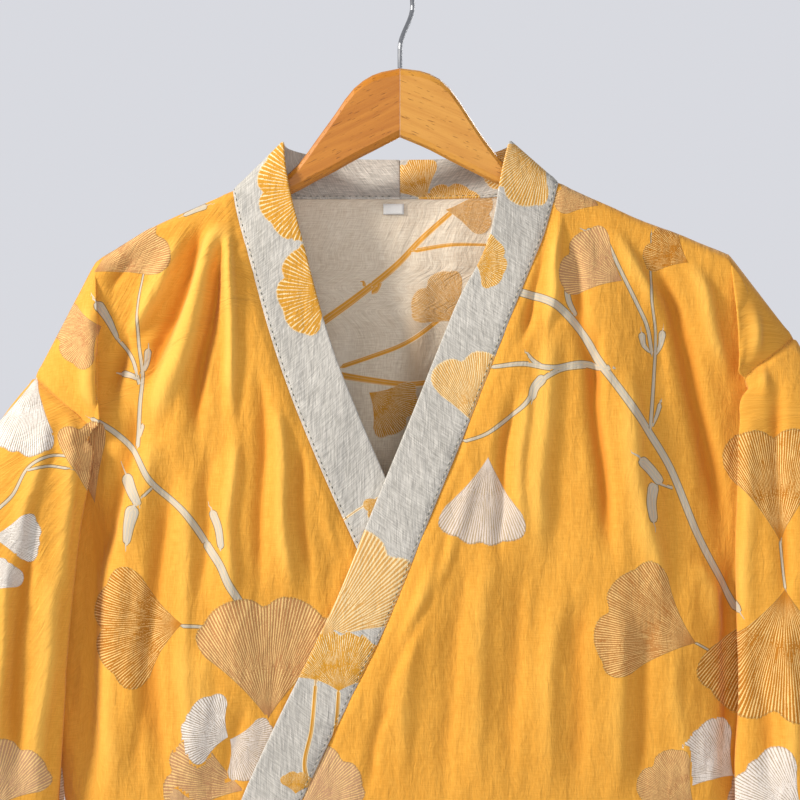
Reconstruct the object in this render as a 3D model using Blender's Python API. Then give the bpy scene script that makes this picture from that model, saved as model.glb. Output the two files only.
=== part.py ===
"""Kimono robe hanging on a wooden clothes hanger.

Sizes are in millimetres in this file and become metres when a mesh is made. The origin is the
underside of the hook's top, where a rail would carry it. +Z is up, the front faces -Y, and the
wearer's left is +X. Each cloth panel is one wall whose middle surface is worked out row by row,
from the shoulder crease down, and neighbouring panels share the points of their seam.
"""

import math

import bpy
import numpy as np
from mathutils import Matrix

MM = 0.001
SHARP = math.radians(50)

CLOTH = 1.6  # wall of a single panel
BAND = 2.6  # wall of the folded neckband
APEX_GAP = 0.9
TURN_DROPS = (42, 56, 75)  # where the armhole seam goes round the fold
TURN_LIFT = 0.5  # gap there, up for the body and down for the sleeve
CREASE_SHARE = 1.5
SHORT_STEP = 0.55  # a shorter step between two columns gives no direction
UNDERARM_GAPS = {210: (2.0, 2.4), 245: (2.6, 0.0)}  # sleeve's distance out and in depth there
SEAM_SHARES = {"front": 0.17, "back": 0.17, "sleeve": 0.85, "collar": 0.55}  # each piece's share of a gap
FRONT_DROP = 1146.0  # neck point to hem, down the front
HEM_Z = -1298.0
ARCH = 7.8  # radius of the cloth's bend over the hanger's arm
UNDER_DEPTH = 4.6  # how far the under front lies behind the over front
SKIRT_UNDER_DEPTH = 9.0
BAND_WIDTH = 38.5
BAND_RAISE = 0.7
BAND_SETTLE = 45.0  # length over which the standing band comes to lie flat
BAND_SHARES = (0, 0.33, 0.67, 1)
SIDE_ROUND = 12.0

BELT_Z = -620.0
BELT_WIDTH = 45.0
BELT_CLOTH = 2.4
BELT_CLEAR = 3.7  # middle of the belt to middle of the fronts

ARM_THICKNESS = 12.0
TIP_THICKNESS = 9.0
ARM_ROUND = 5.0
ARM_SEAT = 3.0  # wood's top edge to the middle of the cloth above it

WIRE = 3.3
HOOK_RADIUS = 21.0
HOOK_TURN = math.radians(65.0)
HOOK_ARC = math.radians(180.0)
ARC_STEPS = 14
STEM_FOOT_Z = -65.3
SHANK_Z = -52.0  # where the wire leaves the stem
SHANK_STEPS = 9

ROW_DROPS = (0, 4, 8, 12.5, 28, 42, 56, 75, 92, 130, 170, 210, 245)
LOWER_DROPS = (285, 330, 375, 415, 455, 505, 590, 700, 820, 980, FRONT_DROP)
CUFF_DROPS = (275, 305, 345, 385)
ARMPIT_DROP = 245
BODY_STEPS = 8
POCKET_FLOOR = 2.0
POCKET_TURN = 3.5  # the valley's turn back towards the fold
POCKET_STEPS = (3, 1, 3)  # body to valley, valley to fold, fold to seam
FOLDED_DROP = 56  # the body's fold lies over the seam down to here
VALLEY_DROP = 75
POCKET_ROUNDING = (232, 330)  # drops between which the pocket becomes a plain side
POCKET_SEAM_SHARE = 0.42


class Table:
    """Rows of numbers under named columns, read along a smooth curve through them."""

    def __init__(self, columns, *rows):
        self.columns = {name: np.array(values, float) for name, values in zip(columns.split(), zip(*rows))}

    def at(self, key, name, where):
        keys = self.columns[key]
        values = self.columns[name]
        if keys[0] > keys[-1]:
            keys, values = keys[::-1], values[::-1]
        steps = np.diff(keys)
        slopes = np.diff(values) / steps
        inner = np.where(slopes[1:] * slopes[:-1] > 0, (slopes[1:] + slopes[:-1]) / 2, 0.0)
        limit = 2.5 * np.minimum(abs(slopes[1:]), abs(slopes[:-1]))
        inner = np.clip(inner, -limit, limit)
        tangents = np.concatenate(([slopes[0]], inner, [slopes[-1]]))
        cell = int(np.clip(np.searchsorted(keys, where) - 1, 0, len(steps) - 1))
        t = min(max((where - keys[cell]) / steps[cell], 0.0), 1.0)
        rise = (3 - 2 * t) * t * t
        start = t * (1 - t) ** 2 * steps[cell] * tangents[cell]
        end = t * t * (t - 1) * steps[cell] * tangents[cell + 1]
        return float(values[cell] * (1 - rise) + values[cell + 1] * rise + start + end)


# The shoulder crease, from the neck point over the hanger's tip to the top of the armhole seam
SHOULDER_COLUMNS = "out z"
RIGHT_SHOULDER = Table(
    SHOULDER_COLUMNS,
    (116, -151.5),
    (141, -162.5),
    (166, -174.0),
    (196, -189.5),
    (211, -201.0),
    (222, -216.5),
    (236, -243.0),
    (254, -281.5),
)
LEFT_SHOULDER = Table(
    SHOULDER_COLUMNS,
    (110, -145.9),
    (138, -158.6),
    (172.5, -173.8),
    (207, -186.2),
    (226, -194.5),
    (240, -209.0),
    (255, -229.0),
    (274, -254.0),
)

# The armhole seam, the fold in front of it and the valley behind, by distance down the seam
ARMHOLE_COLUMNS = "drop out z forward"
RIGHT_SEAM = Table(
    ARMHOLE_COLUMNS,
    (0, 254, -281.5, 0),
    (14, 243.5, -290, 11),
    (28, 232.5, -299, 16),
    (42, 221.5, -308, 19),
    (56, 212.5, -317, 21),
    (75, 222, -334, 14),
    (92, 238, -352, 10),
    (130, 240, -390, 11),
    (170, 243, -429, 11),
    (210, 247, -468, 5.5),
    (245, 250, -503.6, 0),
    (275, 240, -540, 0),
)
LEFT_SEAM = Table(
    ARMHOLE_COLUMNS,
    (0, 274, -254, 0),
    (14, 264.5, -261, 11),
    (28, 255, -267.5, 16),
    (42, 245.5, -274.5, 19),
    (56, 237.5, -281.5, 21),
    (75, 246, -298, 14),
    (92, 258, -315, 10),
    (130, 258, -354, 11),
    (170, 257, -394, 11),
    (210, 256, -434, 5.5),
    (245, 254, -470, 0),
    (275, 243, -510, 0),
)
RIGHT_FOLD = Table(
    ARMHOLE_COLUMNS,
    (0, 214, -205, 0),
    (4, 212.5, -211, 7),
    (14, 210.5, -232, 15),
    (28, 209.5, -260, 19),
    (42, 209.5, -289, 22),
    (56, 210, -312, 22.5),
    (75, 212, -331, 23),
    (92, 213.5, -345, 24),
    (130, 218, -378, 24),
    (170, 223.5, -415, 24),
    (210, 228, -455, 24),
    (245, 230.5, -492, 24),
    (275, 232.5, -527, 24),
    (305, 235, -560, 24),
    (345, 239, -601, 25),
    (385, 243, -640, 26),
)
LEFT_FOLD = Table(
    ARMHOLE_COLUMNS,
    (0, 230.5, -198, 0),
    (4, 231, -203, 7),
    (14, 232, -222, 13),
    (28, 233.5, -243, 18),
    (42, 235, -263, 21),
    (56, 235.5, -277, 22),
    (75, 235.5, -296, 23),
    (92, 235, -313, 24),
    (130, 234, -347, 24),
    (170, 232.5, -384, 24),
    (210, 231.5, -424, 24),
    (245, 231, -460, 24),
    (275, 230.5, -497, 24),
    (305, 230, -530, 24),
    (345, 231, -575, 25),
    (385, 233, -615, 26),
)
RIGHT_VALLEY = Table(
    ARMHOLE_COLUMNS,
    (0, 209, -199, 0),
    (4, 210, -204, 6.8),
    (14, 214, -222, 10),
    (28, 220, -246, 8),
    (42, 228, -269, 6.5),
    (56, 235, -291, 6),
    (75, 238, -318, 6),
)
LEFT_VALLEY = Table(
    ARMHOLE_COLUMNS,
    (0, 226.5, -195, 0),
    (4, 227.5, -199, 6.8),
    (14, 236, -211, 9.5),
    (28, 243, -227, 8),
    (42, 250, -243, 6.5),
    (56, 256, -261, 6),
    (75, 259, -285, 6),
)

# The sleeve's outer crease and how far its front bulges, by the same distance down
SLEEVE_COLUMNS = "drop out z bulge"
RIGHT_SLEEVE = Table(
    SLEEVE_COLUMNS,
    (0, 254, -281.5, 1),
    (14, 264, -293, 12),
    (28, 275, -307, 18),
    (42, 285, -322, 23),
    (56, 294, -336, 27),
    (75, 305, -352, 30),
    (92, 314, -366, 32),
    (130, 332, -398, 36),
    (170, 348, -432, 38),
    (210, 361, -465, 39),
    (245, 370, -492, 40),
    (275, 376, -508, 41),
    (305, 382, -523, 41),
    (345, 388, -542, 42),
    (385, 392, -560, 42),
)
LEFT_SLEEVE = Table(
    SLEEVE_COLUMNS,
    (0, 274, -254, 1),
    (14, 283, -266, 12),
    (28, 293, -280, 18),
    (42, 303, -294, 23),
    (56, 312, -309, 27),
    (75, 322, -326, 30),
    (92, 331, -341, 32),
    (130, 348, -374, 36),
    (170, 363, -409, 38),
    (210, 375, -443, 39),
    (245, 383, -470, 40),
    (275, 389, -488, 41),
    (305, 394, -505, 41),
    (345, 400, -525, 42),
    (385, 404, -545, 42),
)
UNDERARM_COLUMNS = "drop out z"
RIGHT_UNDERARM = Table(
    UNDERARM_COLUMNS,
    (245, 250, -503.6),
    (275, 250, -533),
    (305, 249.5, -562),
    (345, 250, -600),
    (385, 252, -638),
)
LEFT_UNDERARM = Table(
    UNDERARM_COLUMNS,
    (245, 254, -470),
    (275, 253, -501),
    (305, 252, -534),
    (345, 252, -576),
    (385, 254, -614),
)

# The neckband's seam, where each front ends
NECK_COLUMNS = "z out"
RIGHT_NECK = Table(
    NECK_COLUMNS,
    (-151.5, 116),
    (-166, 113.5),
    (-196.5, 105),
    (-231, 95.5),
    (-266.9, 84.9),
    (-296.6, 74),
    (-361.4, 46.9),
    (-396, 31),
    (-450, 8),
    (-508, -17),
    (-566, -42),
    (-620, -60),
    (-700, -80),
    (-900, -104),
    (HEM_Z, -122),
)
LEFT_NECK = Table(
    NECK_COLUMNS,
    (-145.9, 110),
    (-161, 106),
    (-184.8, 98.9),
    (-203.8, 90.9),
    (-234.5, 78.3),
    (-296.6, 53.8),
    (-393.2, 14.2),
    (-450.5, -9),
    (-508.8, -37.3),
    (-566, -64.9),
    (-620, -86),
    (-700, -104),
    (-900, -124),
    (HEM_Z, -142),
)

# The band's free edge where it stands round the neck: run counts from the neck point,
# negative round the back of the neck and positive down the front
BAND_COLUMNS = "run out forward z"
RIGHT_BAND = Table(
    BAND_COLUMNS,
    (-116, 0, -46, -126),
    (-77, 37, -45, -125.3),
    (-50, 61, -39, -123.4),
    (-20, 79, -23, -119.4),
    (-8, 82, -10, -117.8),
    (0, 81, 0, -117),
    (14, 79, 10.5, -138),
    (29, 74, 13, -160),
    (45, 67.8, 15, -184.3),
)
LEFT_BAND = Table(
    BAND_COLUMNS,
    (-110, 0, -46, -126),
    (-72, 35, -45, -125.3),
    (-46, 57, -39, -123.4),
    (-20, 74, -23, -119.4),
    (-8, 77, -10, -117.4),
    (0, 76.3, 0, -116.5),
    (15, 70.5, 11.5, -137),
    (39, 65.5, 14, -167),
    (58, 60.5, 16, -189),
)

# Depth of the fronts and back from the middle plane, by drop below the shoulder
DEPTH_COLUMNS = "drop front back"
DEPTHS = Table(
    DEPTH_COLUMNS,
    (ARCH, ARCH, ARCH),
    (28, 11, 12),
    (56, 15, 16),
    (100, 20, 21),
    (170, 25, 25),
    (245, 28, 27),
    (330, 30, 28),
    (425, 28, 26),
    (500, 28, 26),
    (600, 34, 32),
    (800, 42, 40),
    (FRONT_DROP, 50, 48),
)
SIDE_COLUMNS = "z out"
RIGHT_SIDE = Table(
    SIDE_COLUMNS,
    (-503.6, 250),
    (-540, 238),
    (-572, 233),
    (-660, 233),
    (-700, 235),
    (-800, 240),
    (-1000, 250),
    (HEM_Z, 262),
)
LEFT_SIDE = Table(
    SIDE_COLUMNS,
    (-470, 254),
    (-507, 242),
    (-545, 236),
    (-572, 233),
    (-660, 233),
    (-700, 235),
    (-800, 240),
    (-1000, 250),
    (HEM_Z, 262),
)

# Soft folds of the fronts and of the back: x and z of the top, x and z of the foot,
# half width and height
FRONT_FOLDS = (
    (-121, -186, -163, -350, 14, 4.5),
    (-115, -205, -68, -410, 13, 4.5),
    (-150, -200, -186, -262, 11, -3.5),
    (-96, -290, -76, -372, 10, -4.0),
    (-120, -400, -112, -560, 16, 4.0),
    (-176, -350, -190, -560, 14, 3.5),
    (85, -240, 60, -330, 12, 3.5),
    (140, -190, 165, -440, 24, 4.5),
    (178, -235, 196, -400, 12, -4.5),
    (105, -330, 92, -560, 18, -3.0),
    (58, -400, -38, -530, 14, 3.5),
    (150, -470, 60, -575, 16, 3.5),
    (10, -440, -60, -560, 11, -2.5),
)
BACK_FOLDS = (
    (-126, -190, -156, -420, 16, 4.5),
    (118, -190, 150, -430, 16, 4.5),
    (-60, -210, -74, -520, 18, -3.5),
    (48, -230, 70, -520, 18, -3.5),
    (-10, -260, 6, -560, 22, 4.0),
    (-182, -330, -172, -560, 14, 3.5),
    (180, -330, 174, -560, 14, 3.5),
)
FOLD_FADES = (-0.12, 0.2, 0.75, 1.15)  # shares of a fold's length where it swells and dies away
BELT_QUIET = (32, 85)  # distances from the belt between which folds come back
SKIRT_WAVE = 150.0
SKIRT_HEIGHT = 5.0
SKIRT_PHASE = 0.6
SKIRT_START = (40, 260)  # below the belt

# The panels' section across, and how it grows below the crease
FACE_POWER = 3.2
EDGE_POWER = 0.42
FLATTEST = 0.98
FULL_DEPTH_DROP = 50
FULL_FOLD_DROP = 60
UNDER_TUCK = (52, 10)  # distances inside the over front's free edge
UNDER_TUCK_DROP = (262, 318)
UNDER_TUCK_RISE = 16
SKIRT_TUCK_FALL = 120
SIDE_EASE = 0.35
SIDE_EASE_DROPS = (10, 90)

SIDE_NAMES = {-1: "right", 1: "left"}
SHOULDERS = {-1: RIGHT_SHOULDER, 1: LEFT_SHOULDER}
SEAMS = {-1: RIGHT_SEAM, 1: LEFT_SEAM}
FOLDS = {-1: RIGHT_FOLD, 1: LEFT_FOLD}
VALLEYS = {-1: RIGHT_VALLEY, 1: LEFT_VALLEY}
SLEEVES = {-1: RIGHT_SLEEVE, 1: LEFT_SLEEVE}
SIDES = {-1: RIGHT_SIDE, 1: LEFT_SIDE}
UNDERARMS = {-1: RIGHT_UNDERARM, 1: LEFT_UNDERARM}
NECKS = {-1: RIGHT_NECK, 1: LEFT_NECK}
BANDS = {-1: RIGHT_BAND, 1: LEFT_BAND}
NECK_OUT = {-1: 116.0, 1: 110.0}
NECK_Z = {-1: -151.5, 1: -145.9}
BODY_OUT = {-1: 178.0, 1: 192.0}
TABLE_RUN = {-1: 45.0, 1: 58.0}
BACK_SHARE = 0.9

NECK_BACK_COLUMNS = "out depth z"
NECK_BACK = Table(
    NECK_BACK_COLUMNS,
    (0, 21, -155.5),
    (60, 20, -155.2),
    (88, 15, -154.3),
    (104, 7, -152.3),
    (116, 0, -150),
)
NECK_BACK_STEPS = (0, 40, 72, 95)


def mix(a, b, share):
    return a + (b - a) * share


def ramp(value, start, end):
    t = min(max((value - start) / (end - start), 0.0), 1.0)
    return t * t * (3 - 2 * t)


# The cloth's form

def side_of(x):
    return -1 if x < 0 else 1


def shoulder_z(x):
    """Height of the crease over x, carried level across the neck from one neck point to the other."""
    side = side_of(x)
    out = abs(x)
    if out < NECK_OUT[side]:
        share = (x + NECK_OUT[-1]) / (NECK_OUT[-1] + NECK_OUT[1])
        return mix(NECK_Z[-1], NECK_Z[1], share)
    return SHOULDERS[side].at("out", "z", out)


def depth_at(x, z, face):
    """Distance of the front or back from the middle plane before its folds."""
    drop = max(shoulder_z(x) - z, 0.0)
    if drop < ARCH:
        return math.sqrt(max(ARCH**2 - (ARCH - drop) ** 2, 0.0))
    width = SIDES[side_of(x)].at("z", "out", z) + SIDE_ROUND
    share = min(abs(x) / width, FLATTEST)
    rounding = (1 - share**FACE_POWER) ** EDGE_POWER
    return mix(ARCH, DEPTHS.at("drop", face, drop) * rounding, ramp(drop, ARCH, FULL_DEPTH_DROP))


def relief(x, z, folds):
    total = 0.0
    swell, full, wane, gone = FOLD_FADES
    for top_x, top_z, foot_x, foot_z, half_width, height in folds:
        run_x = foot_x - top_x
        run_z = foot_z - top_z
        length = math.hypot(run_x, run_z)
        along = ((x - top_x) * run_x + (z - top_z) * run_z) / length**2
        across = ((x - top_x) * run_z - (z - top_z) * run_x) / length
        fade = ramp(along, swell, full) * (1 - ramp(along, wane, gone))
        total += height * fade * math.exp(-((across / half_width) ** 2))
    waist = ramp(abs(z - BELT_Z), *BELT_QUIET)
    skirt = ramp(BELT_Z - z, *SKIRT_START)
    wave = math.sin(x * 2 * math.pi / SKIRT_WAVE + SKIRT_PHASE)
    return total * waist + SKIRT_HEIGHT * skirt * wave


def front_forward(x, z):
    """How far the over front's middle surface stands in front of the middle plane."""
    rise = ramp(shoulder_z(x) - z, ARCH, FULL_FOLD_DROP)
    return depth_at(x, z, "front") + rise * relief(x, z, FRONT_FOLDS)


def under_forward(x, z):
    """The same for the under front, which dips behind the over front's free edge."""
    edge = LEFT_NECK.at("z", "out", z - UNDER_TUCK_RISE) - BAND_WIDTH
    far, near = UNDER_TUCK
    dip = ramp(x, edge - far, edge - near) * ramp(-z, *UNDER_TUCK_DROP)
    depth = mix(UNDER_DEPTH, SKIRT_UNDER_DEPTH, ramp(BELT_Z - z, 0, SKIRT_TUCK_FALL))
    return front_forward(x, z) - depth * dip


def back_depth(x, z):
    side = side_of(x)
    rise = ramp(shoulder_z(x) - z, ARCH, FULL_FOLD_DROP)
    depth = depth_at(x, z, "back") + rise * relief(x, z, BACK_FOLDS)
    if abs(x) < NECK_OUT[side]:
        depth = max(depth, NECK_BACK.at("out", "depth", abs(x)))
    return depth


def spot(table, drop):
    return np.array([table.at("drop", name, drop) for name in ("out", "forward", "z")])


def between(start, end, steps):
    """Points from start to end, start left out."""
    return [mix(start, end, (i + 1) / steps) for i in range(steps)]


def arch_drop(drop):
    """Height lost by cloth that first bends over the arm, then hangs."""
    quarter = ARCH * math.pi / 2
    return ARCH * (1 - math.cos(drop / ARCH)) if drop < quarter else ARCH + drop - quarter


def side_z(side, drop):
    """Height of the armhole seam, or below the armpit of the side seam."""
    seam = SEAMS[side]
    if drop <= ARMPIT_DROP:
        return seam.at("drop", "z", drop)
    share = (drop - ARMPIT_DROP) / (FRONT_DROP - ARMPIT_DROP)
    return mix(seam.at("drop", "z", ARMPIT_DROP), HEM_Z, share)


def column_z(side, out, drop, inner_out):
    """Height of a row at a body column: parallel to the crease, then easing down to the side."""
    body_out = BODY_OUT[side]
    share = min(max((out - inner_out) / (body_out - inner_out), 0.0), 1.0)
    fall = arch_drop(drop)
    level = mix(shoulder_z(side * max(out, NECK_OUT[side])) - fall, HEM_Z, (fall / FRONT_DROP) ** 3)
    ease = SIDE_EASE * ramp(drop, *SIDE_EASE_DROPS) * share**2
    return mix(level, side_z(side, drop), ease)


def outer_points(side, drop, start, face_share):
    """A row from the last body column to the seam, through the valley and round the fold."""
    if drop > ARMPIT_DROP:
        z = side_z(side, drop)
        seam = np.array([SIDES[side].at("z", "out", z), 0.0, z])
    else:
        seam = spot(SEAMS[side], drop)
    seam[1] *= face_share
    to_valley, to_fold, to_seam = POCKET_STEPS
    if drop <= FOLDED_DROP:
        valley = spot(VALLEYS[side], drop)
        fold = spot(FOLDS[side], drop)
        valley[1] *= face_share
        fold[1] *= face_share
        points = curve(start, valley, to_valley, 0.5)
        points += curve(valley, fold, to_fold, 0.5)
        return points + curve(fold, seam, to_seam, 0.0)
    if drop <= VALLEY_DROP:
        valley = spot(VALLEYS[side], drop)
        valley[1] *= face_share
        return curve(start, valley, to_valley + 1, 0.5) + curve(valley, seam, to_fold + to_seam - 1, 0.0)
    steps = sum(POCKET_STEPS)
    points = []
    rounding = ramp(drop, *POCKET_ROUNDING)
    pocket_floor = POCKET_FLOOR * face_share + POCKET_SEAM_SHARE * seam[1]
    for i in range(1, steps + 1):
        t = i / steps
        pocket = 1 - ramp(t, 0.0, 1.0)
        point = mix(start, seam, t)
        floor = mix(pocket_floor, seam[1], rounding) if i < steps else seam[1]
        point[1] = mix(floor, start[1], mix(pocket, side_profile(t), rounding))
        points.append(point)
    if rounding < 1:
        points[-2][0] = mix(seam[0] - POCKET_TURN, points[-2][0], rounding)
        points[-2][2] = mix(seam[2], points[-2][2], rounding)
    return points


def curve(start, end, steps, ease):
    """Straight across, with its depth easing in and out by the share given."""
    points = []
    for i in range(1, steps + 1):
        t = i / steps
        point = mix(start, end, t)
        point[1] = mix(start[1], end[1], mix(t, ramp(t, 0.0, 1.0), ease))
        points.append(point)
    return points


def front_row(side, drop):
    forward = front_forward if side > 0 else under_forward
    fall = arch_drop(drop)
    inner_z = mix(NECK_Z[side] - fall, HEM_Z, (fall / FRONT_DROP) ** 3)
    if drop == 0:
        inner_z = NECK_Z[side]
    inner_out = NECKS[side].at("z", "out", inner_z)
    points = []
    for i in range(BODY_STEPS + 1):
        out = mix(inner_out, BODY_OUT[side], i / BODY_STEPS)
        z = inner_z if i == 0 else column_z(side, out, drop, inner_out)
        depth = 0.0 if drop == 0 else forward(side * out, z)
        points.append(np.array([out, depth, z]))
    return points + outer_points(side, drop, points[-1], 1.0)


def front_grid(side):
    return np.array([front_row(side, drop) for drop in ROW_DROPS + LOWER_DROPS])


def back_outs(side):
    outer = between(NECK_OUT[side], BODY_OUT[side], BODY_STEPS)
    return list(NECK_BACK_STEPS) + [NECK_OUT[side]] + outer


def back_row(side, drop):
    points = []
    fall = arch_drop(drop)
    table_out = NECK_BACK.columns["out"][-1]
    table_z = NECK_BACK.columns["z"][-1]
    for out in back_outs(side):
        if out < NECK_OUT[side]:
            scaled = out * table_out / NECK_OUT[side]
            top = NECK_BACK.at("out", "z", scaled) + (NECK_Z[side] - table_z) * (scaled / table_out) ** 3
            z = mix(top - fall, HEM_Z, (fall / FRONT_DROP) ** 3)
            depth = NECK_BACK.at("out", "depth", scaled) if drop == 0 else back_depth(side * out, z)
        else:
            z = column_z(side, out, drop, NECK_OUT[side])
            depth = 0.0 if drop == 0 else back_depth(side * out, z)
        points.append(np.array([out, -depth, z]))
    return points + outer_points(side, drop, points[-1], -BACK_SHARE)


FLAT_STEPS = (0.06, 0.13)
TURN_OUT_SHARE = 0.28
TURN_DEPTH_SHARE = 0.42
SLEEVE_STEPS = (0.24, 0.48, 0.72, 0.9, 1.0)


def sleeve_start(side, drop, share):
    if drop > ARMPIT_DROP:
        table = UNDERARMS[side]
        return np.array([table.at("drop", "out", drop), 0.0, table.at("drop", "z", drop)])
    start = spot(SEAMS[side], drop)
    start[1] *= share
    return start


def sleeve_half(side, drop, share):
    """From the seam or underarm round one face of the sleeve to its outer crease.

    High up the sleeve leaves the seam flat; lower down it first folds forward over the seam.
    """
    start = sleeve_start(side, drop, share)
    sleeve = SLEEVES[side]
    rim = np.array([sleeve.at("drop", "out", drop), 0.0, sleeve.at("drop", "z", drop)])
    bulge = sleeve.at("drop", "bulge", drop) * share
    if drop <= FOLDED_DROP:
        path = [mix(start, rim, step) for step in FLAT_STEPS]
        fold = start
        tucked = [start] + path
        first = FLAT_STEPS[-1]
    else:
        fold = spot(FOLDS[side], drop)
        fold[1] *= share
        middle = mix(start, fold, 0.5)
        if drop > VALLEY_DROP:
            middle = mix(start, fold, TURN_OUT_SHARE)
            middle[1] = mix(start[1], fold[1], TURN_DEPTH_SHARE)
        tucked = [start, middle, fold]
        first = 0.0
    profile = Table(
        "s forward",
        (0, fold[1]),
        (0.25, mix(fold[1], bulge, 0.8)),
        (0.5, bulge),
        (0.75, bulge * 0.88),
        (0.92, bulge * 0.52),
        (1, 0),
    )
    if drop == 0:
        return [start.copy() for _ in range(3 + len(SLEEVE_STEPS))]
    if first:
        for point, step in zip(tucked[1:], FLAT_STEPS):
            point[1] = profile.at("s", "forward", step)
    points = list(tucked)
    for step in SLEEVE_STEPS:
        s = mix(first, 1.0, step)
        point = mix(fold, rim, s)
        point[1] = profile.at("s", "forward", s)
        points.append(point)
    return points


def sleeve_grid(side):
    rows = []
    for drop in ROW_DROPS + CUFF_DROPS:
        front = sleeve_half(side, drop, 1.0)
        back = sleeve_half(side, drop, -BACK_SHARE)
        rows.append(front + back[::-1][1:])
    return np.array(rows)


def band_edge(side, run, seam, ahead):
    """The free edge that belongs to a point of the band's seam."""
    forward = front_forward if side > 0 else under_forward
    last = TABLE_RUN[side]
    standing = np.array([BANDS[side].at("run", name, min(run, last)) for name in ("out", "forward", "z")])
    if run <= last:
        return standing
    direction = (ahead - seam)[[0, 2]]
    direction /= np.linalg.norm(direction)
    flat = np.array([seam[0] + direction[1] * BAND_WIDTH, 0.0, seam[2] - direction[0] * BAND_WIDTH])
    flat[1] = forward(side * flat[0], flat[2]) + BAND_RAISE
    lying = ramp(run, last, last + BAND_SETTLE)
    shift = standing - np.array([NECKS[side].at("z", "out", NECK_Z[side] - last), 0.0, NECK_Z[side] - last])
    carried = np.array([seam[0] + shift[0], flat[1], seam[2] + shift[2]])
    return mix(carried, flat, lying)


def band_grid(side, front, back):
    """Rows from the centre back round the neck and down the front; columns from free edge to seam."""
    seams = [np.array(point) for point in back]
    runs = [point[0] - NECK_OUT[side] for point in back]
    for row in front[1:]:
        seams.append(row[0])
        runs.append(NECK_Z[side] - row[0][2])
    rows = []
    for i, (run, seam) in enumerate(zip(runs, seams)):
        ahead = seams[i + 1] if i + 1 < len(seams) else 2 * seam - seams[i - 1]
        edge = band_edge(side, run, seam, ahead)
        row = [mix(edge, seam, share) for share in BAND_SHARES]
        if run > TABLE_RUN[side]:
            forward = front_forward if side > 0 else under_forward
            for point in row[1:3]:
                point[1] = forward(side * point[0], point[2]) + BAND_RAISE
        rows.append(row)
    return np.array(rows)


# Walls from middle surfaces

def world(grid, side):
    """Distances out, forward and up become X, Y and Z, and columns always turn the same way."""
    turned = np.stack([side * grid[..., 0], -grid[..., 1], grid[..., 2]], axis=-1)
    return turned if side > 0 else turned[:, ::-1]


def point_key(point):
    return tuple(np.round(point * 500).astype(int))


def quads(grid):
    rows, columns = grid.shape[:2]
    for i in range(rows - 1):
        for j in range(columns - 1):
            yield (i, j), (i + 1, j), (i + 1, j + 1), (i, j + 1)


def underarm_places():
    """Where the sleeve leaves the body, as keys."""
    keys = set()
    for side in SIDE_NAMES:
        for drop in UNDERARM_GAPS:
            for share in (1.0, -BACK_SHARE):
                keys.add(point_key(world(sleeve_start(side, drop, share).reshape(1, 1, 3), side)[0, 0]))
    return keys


def shared_normals(grids):
    """One outward direction for each place, so that neighbours meet in one plane.

    Under the arm the sleeve keeps its own direction, because body and sleeve part there.
    """
    apart = underarm_places()

    def place_of(name, point):
        key = point_key(point)
        return (name,) + key if name.startswith("sleeve") and key in apart else key

    sums = {}
    for name, grid in grids.items():
        for corners in quads(grid):
            a, b, c, d = (grid[corner] for corner in corners)
            normal = np.cross(c - a, d - b)
            for corner in corners:
                place = place_of(name, grid[corner])
                sums[place] = sums.get(place, 0) + normal
    normals = {}
    for name, grid in grids.items():
        flat = grid.reshape(-1, 3)
        found = np.array([sums[place_of(name, point)] for point in flat])
        lengths = np.linalg.norm(found, axis=1, keepdims=True)
        normals[name] = (found / np.maximum(lengths, 1e-9)).reshape(grid.shape)
    return normals


def trimmed(grid, edges, gap):
    """Seam edges drawn back along the cloth."""
    result = grid.copy()
    inward = {
        "first_row": (np.s_[0], np.s_[1], np.s_[2]),
        "first_column": (np.s_[:, 0], np.s_[:, 1], np.s_[:, 2]),
        "last_column": (np.s_[:, -1], np.s_[:, -2], np.s_[:, -3]),
    }
    for edge in edges:
        at, towards, beyond = inward[edge]
        step = grid[towards] - grid[at]
        length = np.linalg.norm(step, axis=-1, keepdims=True)
        step = np.where(length > SHORT_STEP, step, grid[beyond] - grid[at])
        length = np.linalg.norm(step, axis=-1, keepdims=True)
        unit = np.where(length > SHORT_STEP, step / np.maximum(length, 1e-9), 0.0)
        if edge == "first_row":
            level = abs(grid[at][:, 1]) < 0.01
            unit[level] = np.sign(unit[level]) * (0, CREASE_SHARE, 0)
        result[at] = result[at] + unit * gap
    return result


def make_mesh(name, points, faces, material, smooth=True):
    mesh = bpy.data.meshes.new(name)
    mesh.from_pydata([tuple(point * MM) for point in points], [], faces)
    mesh.validate()
    mesh.materials.append(material)
    if smooth:
        mesh.shade_smooth()
        mesh.set_sharp_from_angle(angle=SHARP)
    thing = bpy.data.objects.new(name, mesh)
    bpy.context.collection.objects.link(thing)
    return thing


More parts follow.
